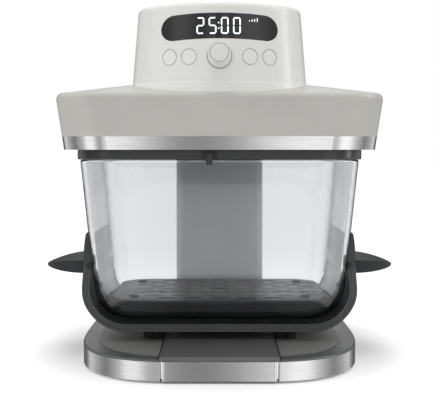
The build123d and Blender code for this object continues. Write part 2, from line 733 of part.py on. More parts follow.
def ring_frame():
    """The dark ring that lands on the glass rim, with a groove for the gasket."""
    ring = extrude(rounded(RING_WIDTH, 216.6, 48, CONTAINER_Y, RING_BOTTOM), TRIM_BOTTOM - RING_BOTTOM)
    ring = fillet(ring.edges().group_by(Axis.Z)[0], 1.5)
    ring -= extrude(rounded(252, 194, 40, CONTAINER_Y, RING_BOTTOM - 1), 14)
    ring -= gasket_solid(0.1)
    front = CONTAINER_Y - 216.6 / 2
    ring -= box((TAB_X - 7.2, TAB_X + 7.2), (front - 1, front + 4.2), (190, TRIM_BOTTOM - 0.6))
    return ring


def gasket_solid(grow):
    outer = rounded(270 + 2 * grow, 212 + 2 * grow, 46, CONTAINER_Y, RING_BOTTOM)
    inner = rounded(259 - 2 * grow, 201 - 2 * grow, 42, CONTAINER_Y, RING_BOTTOM)
    return extrude(outer - inner, 3.2 + grow)


def lid_gasket():
    front = CONTAINER_Y - 216.6 / 2
    return gasket_solid(0) - box((TAB_X - 7.3, TAB_X + 7.3), (front - 1, front + 4.3), (190, 205))


def switch_housing():
    """The housing over the interlock tab, open below and to the front."""
    front = CONTAINER_Y - 216.6 / 2
    body = box((TAB_X - 7, TAB_X + 7), (front - 0.6, front + 4.0), (RING_BOTTOM + 0.4, TRIM_BOTTOM - 0.8))
    slot = box((TAB_X - 3.6, TAB_X + 3.6), (front - 2, front + 3.4), (RING_BOTTOM - 2, TRIM_BOTTOM - 2.6))
    return body - slot


# Hot section of the head

LINER_LOW = 211.8
LINER_TOP = 246.0
FAN_Y = CONTAINER_Y


def liner():
    """The deep drawn metal dish above the food."""
    def dish(shrink, low, high):
        return loft([rounded(250 - shrink, 192 - shrink, 40 - shrink / 2, FAN_Y, low),
                     rounded(226 - shrink, 168 - shrink, 34 - shrink / 2, FAN_Y, high)], ruled=True)
    shell = fillet(dish(0, LINER_LOW, LINER_TOP).edges().group_by(Axis.Z)[-1], 6)
    inside = fillet(dish(2.4, LINER_LOW - 0.1, LINER_TOP - 1.2).edges().group_by(Axis.Z)[-1], 5)
    flange = extrude(rounded(266, 208, 46, FAN_Y, LINER_LOW), 1.2)
    flange -= extrude(rounded(249, 191, 39, FAN_Y, LINER_LOW - 1), 4)
    shell = shell + flange - inside
    shell -= upright(0, FAN_Y, 230, 250, 5.5)
    for x in HEATER_LEGS:
        shell -= upright(x, FAN_Y + HEATER_LEG_RISE, 230, 250, 4.0)
    return shell


HEATER_Z = 221.0
HEATER_TUBE = 3.2
HEATER_FIRST = 58.0
HEATER_STEP = 6.0
HEATER_HALF_TURNS = 5
HEATER_LEG_RISE = 9.0


def heater_radii():
    return [HEATER_FIRST + HEATER_STEP * turn for turn in range(HEATER_HALF_TURNS)]


def heater_ends():
    """Where the spiral of half circles begins and ends, along X."""
    x = -HEATER_FIRST
    start = x
    for turn, radius in enumerate(heater_radii()):
        x += 2 * radius if turn % 2 == 0 else -2 * radius
    return start, x


HEATER_LEGS = heater_ends()


def heater_coil():
    """A tubular element: half circles that grow outwards, with both ends turned up."""
    y0 = FAN_Y
    start, end = heater_ends()
    rise = HEATER_LEG_RISE
    low = HEATER_Z
    bend = rise * (1 - math.sqrt(0.5))
    edges = [Line((start, y0 + rise, LINER_TOP + 8), (start, y0 + rise, low + rise)),
             ThreePointArc((start, y0 + rise, low + rise), (start, y0 + rise - bend, low + bend),
                           (start, y0, low))]
    x = start
    for turn, radius in enumerate(heater_radii()):
        step = 2 * radius if turn % 2 == 0 else -2 * radius
        side = -radius if turn % 2 == 0 else radius
        edges.append(ThreePointArc((x, y0, low), (x + step / 2, y0 + side, low), (x + step, y0, low)))
        x += step
    edges.append(ThreePointArc((x, y0, low), (x, y0 + rise - bend, low + bend),
                               (x, y0 + rise, low + rise)))
    edges.append(Line((x, y0 + rise, low + rise), (x, y0 + rise, LINER_TOP + 8)))
    path = Wire(edges)
    section = Plane(origin=(start, y0 + rise, LINER_TOP + 8), z_dir=(0, 0, -1)) * Circle(HEATER_TUBE)
    return sweep(section, path=path)


def fan_guard():
    """The slotted disc below the element."""
    guard = upright(0, FAN_Y, 213.2, 214.4, 93)
    for count, low, high, width in ((12, 16, 36, 5), (24, 42, 62, 6), (36, 68, 86, 6)):
        for step in range(count):
            slot = box((low, high), (-width / 2, width / 2), (210, 217))
            guard -= Pos(0, FAN_Y, 0) * Rot(0, 0, 360 * step / count) * slot
    return guard


def guard_posts():
    posts = None
    for angle in (45, 135, 225, 315):
        x = 91.0 * math.cos(math.radians(angle)) * 0.98
        y = FAN_Y + 91.0 * math.sin(math.radians(angle)) * 0.98
        post = upright(x, y, 214.4, LINER_TOP - 1.2, 2.4)
        posts = post if posts is None else posts + post
    return posts


def blade_ring(count, low, high, z_low, z_high, sweep_angle):
    blades = None
    for step in range(count):
        blade = box((low, high), (-0.6, 0.6), (z_low, z_high))
        blade = Pos(low, 0, 0) * Rot(0, 0, sweep_angle) * Pos(-low, 0, 0) * blade
        blade = Rot(0, 0, 360 * step / count) * blade
        blades = blade if blades is None else blades + blade
    return blades


def convection_fan():
    """The hot air impeller, with its swept blades under a flat disc."""
    disc = upright(0, 0, 240.4, 241.6, 53)
    hub = upright(0, 0, 228.4, 241.6, 8) - upright(0, 0, 220, 250, 3.0)
    blades = blade_ring(12, 15, 50, 229.4, 240.6, 18)
    return Pos(0, FAN_Y, 0) * (disc + hub + blades - upright(0, 0, 220, 250, 3.0))


def cooling_fan():
    """The cold air impeller over the insulation."""
    disc = upright(0, 0, 255.4, 256.6, 44)
    hub = upright(0, 0, 255.4, 265.0, 7)
    fan = disc + hub + blade_ring(9, 14, 40, 256.4, 264.0, 20) - upright(0, 0, 250, 270, 3.0)
    return Pos(0, FAN_Y, 0) * fan


def motor_shaft():
    return upright(0, FAN_Y, 226.4, 296.0, 3.0) + upright(0, FAN_Y, 226.4, 228.3, 6.0)


def fan_motor():
    can = upright(0, FAN_Y, 270.2, 302.0, 36)
    can = fillet(can.edges().group_by(Axis.Z)[-1], 4)
    can += upright(0, FAN_Y, 302.0, 305.0, 9)
    can -= upright(0, FAN_Y, 260.0, 297.0, 3.05)
    return can


def motor_bracket():
    plate = box((-48, 48), (FAN_Y - 48, FAN_Y + 48), (268.0, 270.2)) - upright(0, FAN_Y, 260, 280, 12)
    for x in (-42, 42):
        for y in (-42, 42):
            plate += upright(x, FAN_Y + y, 253.6, 268.0, 4.0)
    return plate


def insulation_plate():
    plate = extrude(rounded(204, 146, 30, FAN_Y, LINER_TOP + 0.2), 3.6)
    plate -= upright(0, FAN_Y, 240, 260, 7)
    for x in HEATER_LEGS:
        plate -= upright(x, FAN_Y + HEATER_LEG_RISE, 240, 260, 4.5)
    return plate


def head_frame():
    """The steel yoke that carries the head on its two bushes."""
    side = (YOKE_HALF - YOKE_PLATE, YOKE_HALF)
    plate = box((-YOKE_HALF, YOKE_HALF), (-60, YOKE_REAR), (YOKE_LOW, YOKE_LOW + 2.8))
    plate -= upright(0, FAN_Y, 240, 260, 49)
    ear = box(side, (-60, YOKE_REAR), (YOKE_LOW, 262))
    ear += box(side, (100, HINGE_Y + 12), (YOKE_LOW, YOKE_TOP))
    ear += box(side, (HINGE_Y - 12, HINGE_Y + 12), (HINGE_Z, YOKE_TOP))
    ear += across(*side, HINGE_Y, HINGE_Z, 12)
    ear -= across(50, 60, HINGE_Y, HINGE_Z, BUSH_RADIUS)
    yoke = plate + mirrored(ear)
    for x in HEATER_LEGS:
        yoke -= upright(x, FAN_Y + HEATER_LEG_RISE, 240, 262, 4.5)
    return yoke


def hinge_bushes():
    bush = across(54.9, 60.4, HINGE_Y, HINGE_Z, BUSH_RADIUS)
    bush -= across(50, 70, HINGE_Y, HINGE_Z, PIN_RADIUS + 0.05)
    return mirrored(bush)


def power_board():
    board = box((-58, 58), (112.0, 113.6), (263, 330))
    parts = board + box((-50, -22), (96, 112), (270, 292)) + box((16, 50), (92, 112), (268, 300))
    parts += Pos(-34, 104, 312) * Rot(90, 0, 0) * Cylinder(9, 16)
    parts += Pos(-6, 105, 314) * Rot(90, 0, 0) * Cylinder(7, 14)
    for x in (-52, 52):
        parts += box((x - 3, x + 3), (113.6, TOWER_REAR - SHELL_WALL - 0.05), (264, 270))
    return parts


PIECES = {
    "base_top_cover": base_top_cover,
    "base_inlay": base_inlay,
    "container_guide": container_guide,
    "base_trim_band": base_trim_band,
    "base_front_plate": base_front_plate,
    "base_bottom_pan": base_bottom_pan,
    "base_rubber_feet": base_rubber_feet,
    "base_screws": base_screws,
    "column_shell": column_shell,
    "column_rear_cover": column_rear_cover,
    "column_bracket": column_bracket,
    "cord_gland": cord_gland,
    "hinge_pin": hinge_pin,
    "hinge_clips": hinge_clips,
    "glass_container": glass_container,
    "cradle_strap": cradle_strap,
    "handle_left": lambda: handle(-1),
    "handle_right": lambda: handle(1),
    "handle_screws": handle_screws,
    "cradle_feet": cradle_feet,
    "glass_pads": glass_pads,
    "interlock_tab": interlock_tab,
    "crisper_plate": crisper_plate,
    "crisper_bumpers": crisper_bumpers,
    "tower_shell": tower_shell,
    "collar_shell": collar_shell,
    "trim_band": trim_band,
    "bottom_cover": bottom_cover,
    "ring_frame": ring_frame,
    "lid_gasket": lid_gasket,
    "switch_housing": switch_housing,
    "liner": liner,
    "heater_coil": heater_coil,
    "fan_guard": fan_guard,
    "guard_posts": guard_posts,
    "insulation_plate": insulation_plate,
    "head_frame": head_frame,
    "hinge_bushes": hinge_bushes,
    "motor_bracket": motor_bracket,
    "fan_motor": fan_motor,
    "motor_shaft": motor_shaft,
    "convection_fan": convection_fan,
    "cooling_fan": cooling_fan,
    "power_board": power_board,
    "control_board": control_board,
    "display_module": display_module,
    "display_window": display_window,
    "button_carrier": button_carrier,
    "tact_switches": tact_switches,
    "encoder_body": encoder_body,
    "encoder_rotor": encoder_rotor,
    "dial_knob": dial_knob,
}
for button_name, button_x in zip(BUTTON_NAMES, BUTTON_OFFSETS):
    PIECES[button_name] = lambda x=button_x: button(x)

for name, build in PIECES.items():
    export_step(build(), f"parts/{name}.step")
    print("wrote", name)
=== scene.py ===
import logging
import math
from dataclasses import dataclass, field
from enum import Enum

import bmesh
import bpy
import numpy as np
from mathutils import Euler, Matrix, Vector


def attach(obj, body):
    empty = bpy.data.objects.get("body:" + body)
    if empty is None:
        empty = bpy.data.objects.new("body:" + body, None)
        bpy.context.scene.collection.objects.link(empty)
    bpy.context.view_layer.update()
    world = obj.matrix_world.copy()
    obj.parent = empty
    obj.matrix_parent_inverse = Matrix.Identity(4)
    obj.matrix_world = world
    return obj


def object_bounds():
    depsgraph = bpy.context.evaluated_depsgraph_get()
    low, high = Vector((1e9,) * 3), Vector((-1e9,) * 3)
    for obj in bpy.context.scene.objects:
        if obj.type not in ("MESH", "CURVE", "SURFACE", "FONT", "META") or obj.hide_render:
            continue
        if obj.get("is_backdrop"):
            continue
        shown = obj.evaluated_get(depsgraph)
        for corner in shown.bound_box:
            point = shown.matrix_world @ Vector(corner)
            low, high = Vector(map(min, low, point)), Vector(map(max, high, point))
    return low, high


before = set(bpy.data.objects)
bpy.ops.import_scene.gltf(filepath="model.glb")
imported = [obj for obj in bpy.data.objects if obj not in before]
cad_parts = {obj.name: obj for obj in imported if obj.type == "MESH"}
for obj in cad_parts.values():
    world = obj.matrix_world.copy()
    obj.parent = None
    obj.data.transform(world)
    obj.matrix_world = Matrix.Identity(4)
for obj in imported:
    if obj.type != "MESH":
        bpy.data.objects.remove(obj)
CAD_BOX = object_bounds()

LOG = logging.getLogger("air_fryer")
Colour = tuple[float, float, float]
Point = tuple[float, float, float]
Span = tuple[float, float]
Socket = bpy.types.NodeSocket

SHARP_ANGLE = math.radians(38)
COAT_ROUGHNESS = 0.18
MOULDED_DRIFT = (0.9, 1.12)
BRUSHED_DRIFT = (1.15, 0.85)
PLASTIC_MARKS = 18.0
GLASS_MARKS = 9.0
DIFFUSER_MARKS = 400.0


class Body(Enum):
    """The moving bodies that the new pieces ride on."""

    BASE = "base"
    HEAD = "head"
    CONTAINER = "container"
    DIAL = "dial"


class Grain(Enum):
    """How coarse a moulded surface is: noise scale per metre and bump height in metres."""

    POLISHED = (900.0, 0.000004)
    FINE = (1400.0, 0.000012)
    SPARKED = (2100.0, 0.00003)


class Brushing(Enum):
    """The way the lines of a brushed metal run, as noise scales along x, y and z."""

    LEVEL = (14.0, 14.0, 2600.0)
    SIDEWAYS = (10.0, 1900.0, 1900.0)
    SPUN = (700.0, 700.0, 700.0)


def linear(colour: Colour) -> tuple[float, float, float, float]:
    """A colour written as 0 to 255 values, made linear.

    Args:
        colour: red, green and blue as a display shows them.

    Returns:
        The same colour in linear light, with an alpha of one.
    """
    scaled = np.asarray(colour, float) / 255.0
    light = np.where(scaled <= 0.04045, scaled / 12.92, ((scaled + 0.055) / 1.055) ** 2.4)
    return (float(light[0]), float(light[1]), float(light[2]), 1.0)


def shaded(colour: Colour, share: float) -> Colour:
    """The colour made lighter or darker by a share of itself."""
    return tuple(min(255.0, c * share) for c in colour)


# Shader node groups

def new_group(name: str, inputs: dict[str, float], outputs: dict[str, str]) -> bpy.types.NodeTree:
    """An empty shader group with named sockets.

    Args:
        name: the group's name.
        inputs: float inputs and their defaults.
        outputs: output names and their socket types.

    Returns:
        The node tree, with its Group Input and Group Output placed.
    """
    tree = bpy.data.node_groups.new(name, "ShaderNodeTree")
    for label, value in inputs.items():
        socket = tree.interface.new_socket(name=label, in_out="INPUT",
                                           socket_type="NodeSocketFloat")
        socket.default_value = value
    for label, kind in outputs.items():
        tree.interface.new_socket(name=label, in_out="OUTPUT", socket_type=kind)
    tree.nodes.new("NodeGroupInput").name = "in"
    tree.nodes.new("NodeGroupOutput").name = "out"
    return tree


def scaled_position(tree: bpy.types.NodeTree, scale: Point) -> Socket:
    """Object coordinates stretched by a scale, so that a noise follows the object."""
    where = tree.nodes.new("ShaderNodeTexCoord")
    mapping = tree.nodes.new("ShaderNodeMapping")
    mapping.inputs["Scale"].default_value = scale
    tree.links.new(where.outputs["Object"], mapping.inputs["Vector"])
    return mapping.outputs["Vector"]


def noise(tree: bpy.types.NodeTree, vector: Socket, scale: float, detail: float) -> bpy.types.Node:
    """A noise texture read at a vector."""
    node = tree.nodes.new("ShaderNodeTexNoise")
    node.inputs["Scale"].default_value = scale
    node.inputs["Detail"].default_value = detail
    tree.links.new(vector, node.inputs["Vector"])
    return node


def ranged(tree: bpy.types.NodeTree, value: Socket, old: Span, new: Span) -> Socket:
    """A value moved from one range to another and held inside it."""
    node = tree.nodes.new("ShaderNodeMapRange")
    for label, number in zip(("From Min", "From Max", "To Min", "To Max"), old + new):
        node.inputs[label].default_value = number
    tree.links.new(value, node.inputs["Value"])
    return node.outputs["Result"]


def between(tree: bpy.types.NodeTree, factor: Socket, low: float | Socket,
            high: float | Socket) -> Socket:
    """One number or another, by a factor; each may be a constant or a socket."""
    node = tree.nodes.new("ShaderNodeMix")
    node.data_type = "FLOAT"
    tree.links.new(factor, node.inputs["Factor"])
    for label, value in (("A", low), ("B", high)):
        if isinstance(value, float):
            node.inputs[label].default_value = value
        else:
            tree.links.new(value, node.inputs[label])
    return node.outputs["Result"]


def worked_out(tree: bpy.types.NodeTree, operation: str, first: Socket,
               second: float | Socket | None = None) -> Socket:
    """The result of one Math node on a socket and, where it takes two, a number or socket."""
    node = tree.nodes.new("ShaderNodeMath")
    node.operation = operation
    tree.links.new(first, node.inputs[0])
    if isinstance(second, float):
        node.inputs[1].default_value = second
    elif second is not None:
        tree.links.new(second, node.inputs[1])
    return node.outputs[0]


def grain_group() -> bpy.types.NodeTree:
    """Moulded plastic grain: fine cells over soft noise, as a height and a mask."""
    known = bpy.data.node_groups.get("moulded grain")
    if known:
        return known
    tree = new_group("moulded grain", {"Scale": 1200.0},
                     {"Height": "NodeSocketFloat", "Mask": "NodeSocketFloat"})
    entry, leave = tree.nodes["in"], tree.nodes["out"]
    place = scaled_position(tree, (1.0, 1.0, 1.0))
    cells = tree.nodes.new("ShaderNodeTexVoronoi")
    cells.feature = "SMOOTH_F1"
    tree.links.new(place, cells.inputs["Vector"])
    tree.links.new(entry.outputs["Scale"], cells.inputs["Scale"])
    soft = noise(tree, place, 300.0, 4.0)
    tree.links.new(entry.outputs["Scale"], soft.inputs["Scale"])
    blend = tree.nodes.new("ShaderNodeMath")
    blend.operation = "MULTIPLY_ADD"
    tree.links.new(cells.outputs["Distance"], blend.inputs[0])
    blend.inputs[1].default_value = 0.6
    tree.links.new(soft.outputs["Fac"], blend.inputs[2])
    tree.links.new(blend.outputs[0], leave.inputs["Height"])
    mask = ranged(tree, soft.outputs["Fac"], (0.35, 0.65), (0.0, 1.0))
    tree.links.new(mask, leave.inputs["Mask"])
    return tree


def handling_group() -> bpy.types.NodeTree:
    """Slow cloudy change left by handling and moulding, as a mask from zero to one."""
    known = bpy.data.node_groups.get("handling marks")
    if known:
        return known
    tree = new_group("handling marks", {"Scale": 22.0},
                     {"Mask": "NodeSocketFloat", "Specks": "NodeSocketFloat"})
    entry, leave = tree.nodes["in"], tree.nodes["out"]
    place = scaled_position(tree, (1.0, 1.0, 1.0))
    cloud = noise(tree, place, 20.0, 5.0)
    tree.links.new(entry.outputs["Scale"], cloud.inputs["Scale"])
    cloud.inputs["Distortion"].default_value = 0.6
    mask = ranged(tree, cloud.outputs["Fac"], (0.35, 0.68), (0.0, 1.0))
    tree.links.new(mask, leave.inputs["Mask"])
    dust = noise(tree, place, 900.0, 2.0)
    specks = ranged(tree, dust.outputs["Fac"], (0.66, 0.74), (0.0, 1.0))
    tree.links.new(specks, leave.inputs["Specks"])
    return tree


def brushed_group(way: Brushing) -> bpy.types.NodeTree:
    """Brushed metal: noise drawn out along one direction, as streaks and a height."""
    name = "brushed " + way.name.lower()
    known = bpy.data.node_groups.get(name)
    if known:
        return known
    tree = new_group(name, {}, {"Streaks": "NodeSocketFloat", "Height": "NodeSocketFloat"})
    leave = tree.nodes["out"]
    place = scaled_position(tree, way.value)
    coarse = noise(tree, place, 1.0, 3.0)
    fine = noise(tree, place, 2.7, 6.0)
    blend = tree.nodes.new("ShaderNodeMath")
    blend.operation = "MULTIPLY_ADD"
    tree.links.new(coarse.outputs["Fac"], blend.inputs[0])
    blend.inputs[1].default_value = 0.5
    halved = ranged(tree, fine.outputs["Fac"], (0.0, 1.0), (0.0, 0.5))
    tree.links.new(halved, blend.inputs[2])
    streaks = ranged(tree, blend.outputs[0], (0.36, 0.64), (0.0, 1.0))
    tree.links.new(streaks, leave.inputs["Streaks"])
    tree.links.new(blend.outputs[0], leave.inputs["Height"])
    return tree


# Finishes

class Recipe:
    """The nodes of one material, built from the finish that asks for it."""

    def __init__(self, name: str) -> None:
        """Makes the material with an empty Principled surface."""
        self.material = bpy.data.materials.new(name)
        self.material.use_nodes = True
        self.tree = self.material.node_tree
        self.surface = self.tree.nodes["Principled BSDF"]

    def set(self, **values: float) -> "Recipe":
        """Sets constants on the Principled's own sockets; an underscore stands for a space."""
        for label, value in values.items():
            self.surface.inputs[label.replace("_", " ")].default_value = value
        return self

    def place(self, group: bpy.types.NodeTree, **values: float) -> bpy.types.Node:
        """Places a shared group with its own values."""
        node = self.tree.nodes.new("ShaderNodeGroup")
        node.node_tree = group
        for label, value in values.items():
            node.inputs[label].default_value = value
        return node

    def colour_between(self, mask: Socket, low: Colour, high: Colour) -> Socket:
        """A colour that goes from low to high with a mask."""
        node = self.tree.nodes.new("ShaderNodeMix")
        node.data_type = "RGBA"
        self.tree.links.new(mask, node.inputs["Factor"])
        node.inputs["A"].default_value = linear(low)
        node.inputs["B"].default_value = linear(high)
        return node.outputs["Result"]

    def link(self, source: Socket, label: str) -> "Recipe":
        """Feeds one of the Principled's sockets."""
        self.tree.links.new(source, self.surface.inputs[label])
        return self

    def bump(self, height: Socket, distance: float, strength: float = 1.0) -> "Recipe":
        """Turns a height into the surface's normal."""
        node = self.tree.nodes.new("ShaderNodeBump")
        node.inputs["Distance"].default_value = distance
        node.inputs["Strength"].default_value = strength
        self.tree.links.new(height, node.inputs["Height"])
        self.tree.links.new(node.outputs["Normal"], self.surface.inputs["Normal"])
        return self


@dataclass(frozen=True)
class Moulded:
    """A moulded or painted plastic surface."""

    name: str
    colour: Colour
    roughness: float = 0.4
    grain: Grain = Grain.FINE
    coat: float = 0.0
    spread: float = 0.03
    specular: float = 0.5

    def material(self) -> bpy.types.Material:
        """Builds the material.

        Returns:
            A Principled surface whose colour and roughness drift slowly, with a fine grain.
        """
        recipe = Recipe(self.name).set(Coat_Weight=self.coat, Coat_Roughness=COAT_ROUGHNESS,
                                       Specular_IOR_Level=self.specular)
        scale, height = self.grain.value
        grain = recipe.place(grain_group(), Scale=scale)
        marks = recipe.place(handling_group(), Scale=PLASTIC_MARKS)
        tint = recipe.colour_between(marks.outputs["Mask"], shaded(self.colour, 1 - self.spread),
                                     shaded(self.colour, 1 + self.spread))
        recipe.link(tint, "Base Color")
        rough = ranged(recipe.tree, marks.outputs["Mask"], (0.0, 1.0),
                       tuple(self.roughness * share for share in MOULDED_DRIFT))
        recipe.link(rough, "Roughness")
        recipe.bump(grain.outputs["Height"], height)
        return recipe.material


@dataclass(frozen=True)
class Metal:
    """A bare or brushed metal surface."""

    name: str
    colour: Colour
    roughness: float = 0.3
    way: Brushing = Brushing.LEVEL
    depth: float = 0.00002
    spread: float = 0.08

    def material(self) -> bpy.types.Material:
        """Builds the material.

        Returns:
            A metallic surface with streaks in its colour, roughness and height.
        """
        recipe = Recipe(self.name).set(Metallic=1.0)
        lines = recipe.place(brushed_group(self.way))
        tint = recipe.colour_between(lines.outputs["Streaks"], shaded(self.colour, 1 - self.spread),
                                     shaded(self.colour, 1 + self.spread))
        recipe.link(tint, "Base Color")
        rough = ranged(recipe.tree, lines.outputs["Streaks"], (0.0, 1.0),
                       tuple(self.roughness * share for share in BRUSHED_DRIFT))
        recipe.link(rough, "Roughness")
        recipe.bump(lines.outputs["Height"], self.depth)
        return recipe.material


@dataclass(frozen=True)
class Glass:
    """Clear pressed glass with a faint tint and slow waves in its surface."""

    name: str
    tint: Colour = (233, 234, 236)
    edge_painted_shade: Colour = (44, 46, 49)
    edge_shade_span: Span = (0.42, 0.95)
    index: float = 1.47
    wave: float = 0.00006

    def material(self) -> bpy.types.Material:
        """Builds the material.

        Returns:
            A transmissive surface, deeper in tint where the eye looks along the wall, and past that
            a near-black painted shade at the grazing edges.
        """
        recipe = Recipe(self.name).set(Transmission_Weight=1.0, IOR=self.index)
        marks = recipe.place(handling_group(), Scale=GLASS_MARKS)
        slant = recipe.tree.nodes.new("ShaderNodeLayerWeight")
        slant.inputs["Blend"].default_value = 0.5
        # Painted shade: where the eye looks along the wall the colour goes to a near-black grey,
        # far darker than the longer path through the glass would tint it.
        edge = ranged(recipe.tree, slant.outputs["Facing"], self.edge_shade_span, (0.0, 1.0))
        tint = recipe.colour_between(edge, self.tint, self.edge_painted_shade)
        recipe.link(tint, "Base Color")
        rough = ranged(recipe.tree, marks.outputs["Specks"], (0.0, 1.0), (0.0, 0.05))
        recipe.link(rough, "Roughness")
        recipe.bump(marks.outputs["Mask"], self.wave, 0.25)
        return recipe.material


@dataclass(frozen=True)
class Lit:
    """A glowing display segment."""

    name: str
    colour: Colour = (240, 244, 248)
    strength: float = 1.0

    def material(self) -> bpy.types.Material:
        """Builds the material.

        Returns:
            A white surface that glows, a little unevenly as a diffuser does.
        """
        recipe = Recipe(self.name).set(Roughness=0.4, Emission_Strength=self.strength)
        marks = recipe.place(handling_group(), Scale=DIFFUSER_MARKS)
        tint = recipe.colour_between(marks.outputs["Mask"], shaded(self.colour, 0.96), self.colour)
        recipe.link(tint, "Base Color")
        recipe.link(tint, "Emission Color")
        return recipe.material


Finish = Moulded | Metal | Glass | Lit
Dressed = tuple[str, Finish]

TOWER_LIGHT = Moulded("tower light", (228, 228, 224), 0.32, Grain.POLISHED, 0.15, 0.008)
CAP_LIGHT = Moulded("cap light", (230, 231, 227), 0.36, Grain.FINE, 0.1, 0.01)
COLLAR_GREY = Moulded("collar grey", (193, 192, 187), 0.36, Grain.FINE, 0.08, 0.012)
COLUMN_GREY = Moulded("column grey", (214, 213, 210), 0.46, Grain.FINE, 0.05, 0.02)
GUIDE_DARK = Moulded("guide dark", (92, 92, 92), 0.36, Grain.FINE, 0.1, 0.03)
DARK_SATIN = Moulded("dark satin", (52, 54, 55), 0.42, Grain.SPARKED, 0.0, 0.06)
HANDLE_BLACK = Moulded("handle black", (50, 52, 53), 0.5, Grain.SPARKED, 0.0, 0.06, 0.2)
RING_DARK = Moulded("ring dark", (42, 43, 44), 0.32, Grain.FINE, 0.2, 0.04)
RIM_DARK = Moulded("rim dark", (80, 82, 82), 0.3, Grain.FINE, 0.15, 0.03)
INLAY_GREY = Moulded("inlay grey", (126, 126, 124), 0.38, Grain.FINE, 0.1, 0.02)
BLACK_PLASTIC = Moulded("black plastic", (24, 25, 26), 0.5, Grain.SPARKED, 0.0, 0.08)
RUBBER = Moulded("rubber", (20, 20, 20), 0.78, Grain.SPARKED, 0.0, 0.1)
SILICONE = Moulded("silicone", (58, 58, 57), 0.6, Grain.FINE, 0.0, 0.05)
LENS_BLACK = Moulded("lens black", (12, 13, 14), 0.16, Grain.POLISHED, 0.3, 0.05)
FAN_PLASTIC = Moulded("fan plastic", (38, 40, 42), 0.5, Grain.FINE, 0.0, 0.06)
INSULATION = Moulded("insulation", (205, 198, 182), 0.85, Grain.SPARKED, 0.0, 0.06)
BOARD_GREEN = Moulded("board green", (34, 78, 52), 0.4, Grain.FINE, 0.1, 0.12)
NONSTICK = Moulded("nonstick", (46, 47, 48), 0.34, Grain.SPARKED, 0.0, 0.08)
TRIM_STEEL = Metal("trim steel", (228, 229, 228), 0.13, Brushing.LEVEL, 0.00001, 0.05)
BAND_STEEL = Metal("band steel", (222, 223, 222), 0.2, Brushing.LEVEL, 0.00001, 0.05)
PLATE_STEEL = Metal("plate steel", (216, 217, 216), 0.13, Brushing.LEVEL, 0.00001, 0.05)
EDGE_STEEL = Metal("edge steel", (236, 237, 236), 0.2, Brushing.LEVEL, 0.000004, 0.02)
LINE_STEEL = Metal("line steel", (158, 158, 157), 0.36, Brushing.LEVEL, 0.000006, 0.03)
PLAIN_STEEL = Metal("plain steel", (168, 170, 172), 0.32, Brushing.SPUN, 0.00001, 0.08)
LINER_METAL = Metal("liner metal", (150, 151, 152), 0.36, Brushing.SPUN, 0.00001, 0.07)
BRASS = Metal("brass", (196, 160, 92), 0.3, Brushing.SPUN, 0.000008, 0.07)
COIL_STEEL = Metal("coil steel", (92, 88, 84), 0.44, Brushing.SPUN, 0.00002, 0.16)
# A lighter copy of the strap's dark plastic: a painted highlight along the cradle's raised beads.
BEAD_HIGHLIGHT_GREY = Moulded("bead highlight grey", (78, 79, 80), 0.3, Grain.FINE, 0.2, 0.03)
# Grey for the rings of painted shade in the gaps round the buttons and the dial and at the dial
# face's edge.
PAINTED_SHADE_GREY = Moulded("painted shade grey", (132, 133, 131), 0.5, Grain.FINE, 0.0, 0.02)
CLEAR_GLASS = Glass("clear glass")
LIT_WHITE = Lit("lit white")

MADE: dict[str, bpy.types.Material] = {}


def finish_of(kind: Finish) -> bpy.types.Material:
    """The material of a finish, built the first time it is asked for."""
    if kind.name not in MADE:
        MADE[kind.name] = kind.material()
    return MADE[kind.name]


def dress_nodes(finishes: tuple[Dressed, ...]) -> None:
    """Gives each named CAD node its finish in every material slot.

    Args:
        finishes: the nodes of one sub-assembly, each with its finish.
    """
    for name, kind in finishes:
        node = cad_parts[name]
        made = finish_of(kind)
        if not node.material_slots:
            node.data.materials.append(made)
        for place in node.material_slots:
            place.material = made
        LOG.info("%s dressed as %s", name, kind.name)


# Meshes

def grid_faces(rows: int, columns: int, wrap_rows: bool, wrap_columns: bool) -> np.ndarray:
    """The quads of a grid of points, as indices.

    Args:
        rows: how many points along the first parameter.
        columns: how many points along the second.
        wrap_rows: whether the last row joins the first.
        wrap_columns: whether the last column joins the first.

    Returns:
        An array of shape (quads, 4); the point at (i, j) has the index i * columns + j.
    """
    i = np.arange(rows if wrap_rows else rows - 1)
    j = np.arange(columns if wrap_columns else columns - 1)
    a, b = np.meshgrid(i, j, indexing="ij")
    a, b = a.ravel(), b.ravel()
    c, d = (a + 1) % rows, (b + 1) % columns
    return np.stack([a * columns + b, c * columns + b, c * columns + d, a * columns + d], axis=1)


def mesh_piece(name: str, points: np.ndarray, faces: list, kind: Finish, body: Body,
               smooth: bool = True) -> None:
    """Makes an object from points and faces, dresses it and lets it ride on a body.

    Args:
        name: the piece's name.
        points: vertices in metres, of shape (n, 3).
        faces: lists of vertex indices.
        kind: the finish.
        body: the body that it moves with.
        smooth: whether its faces are shaded smooth.
    """
    mesh = bpy.data.meshes.new(name)
    mesh.from_pydata(points.tolist(), [], [list(map(int, f)) for f in faces])
    form = bmesh.new()
    form.from_mesh(mesh)
    bmesh.ops.recalc_face_normals(form, faces=form.faces)
    form.to_mesh(mesh)
    form.free()
    mesh.polygons.foreach_set("use_smooth", np.full(len(mesh.polygons), smooth))
    mesh.set_sharp_from_angle(angle=SHARP_ANGLE)
    mesh.update()
    piece = bpy.data.objects.new(name, mesh)
    bpy.context.scene.collection.objects.link(piece)
    mesh.materials.append(finish_of(kind))
    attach(piece, body.value)
    LOG.info("%s built: %d points, %d faces", name, len(points), len(faces))


def full_turn(count: int = 72) -> np.ndarray:
    """Even angles round a circle, without the last one, which is the first again."""
    return np.linspace(0.0, 2 * math.pi, count + 1)[:-1]


# Sub-assemblies

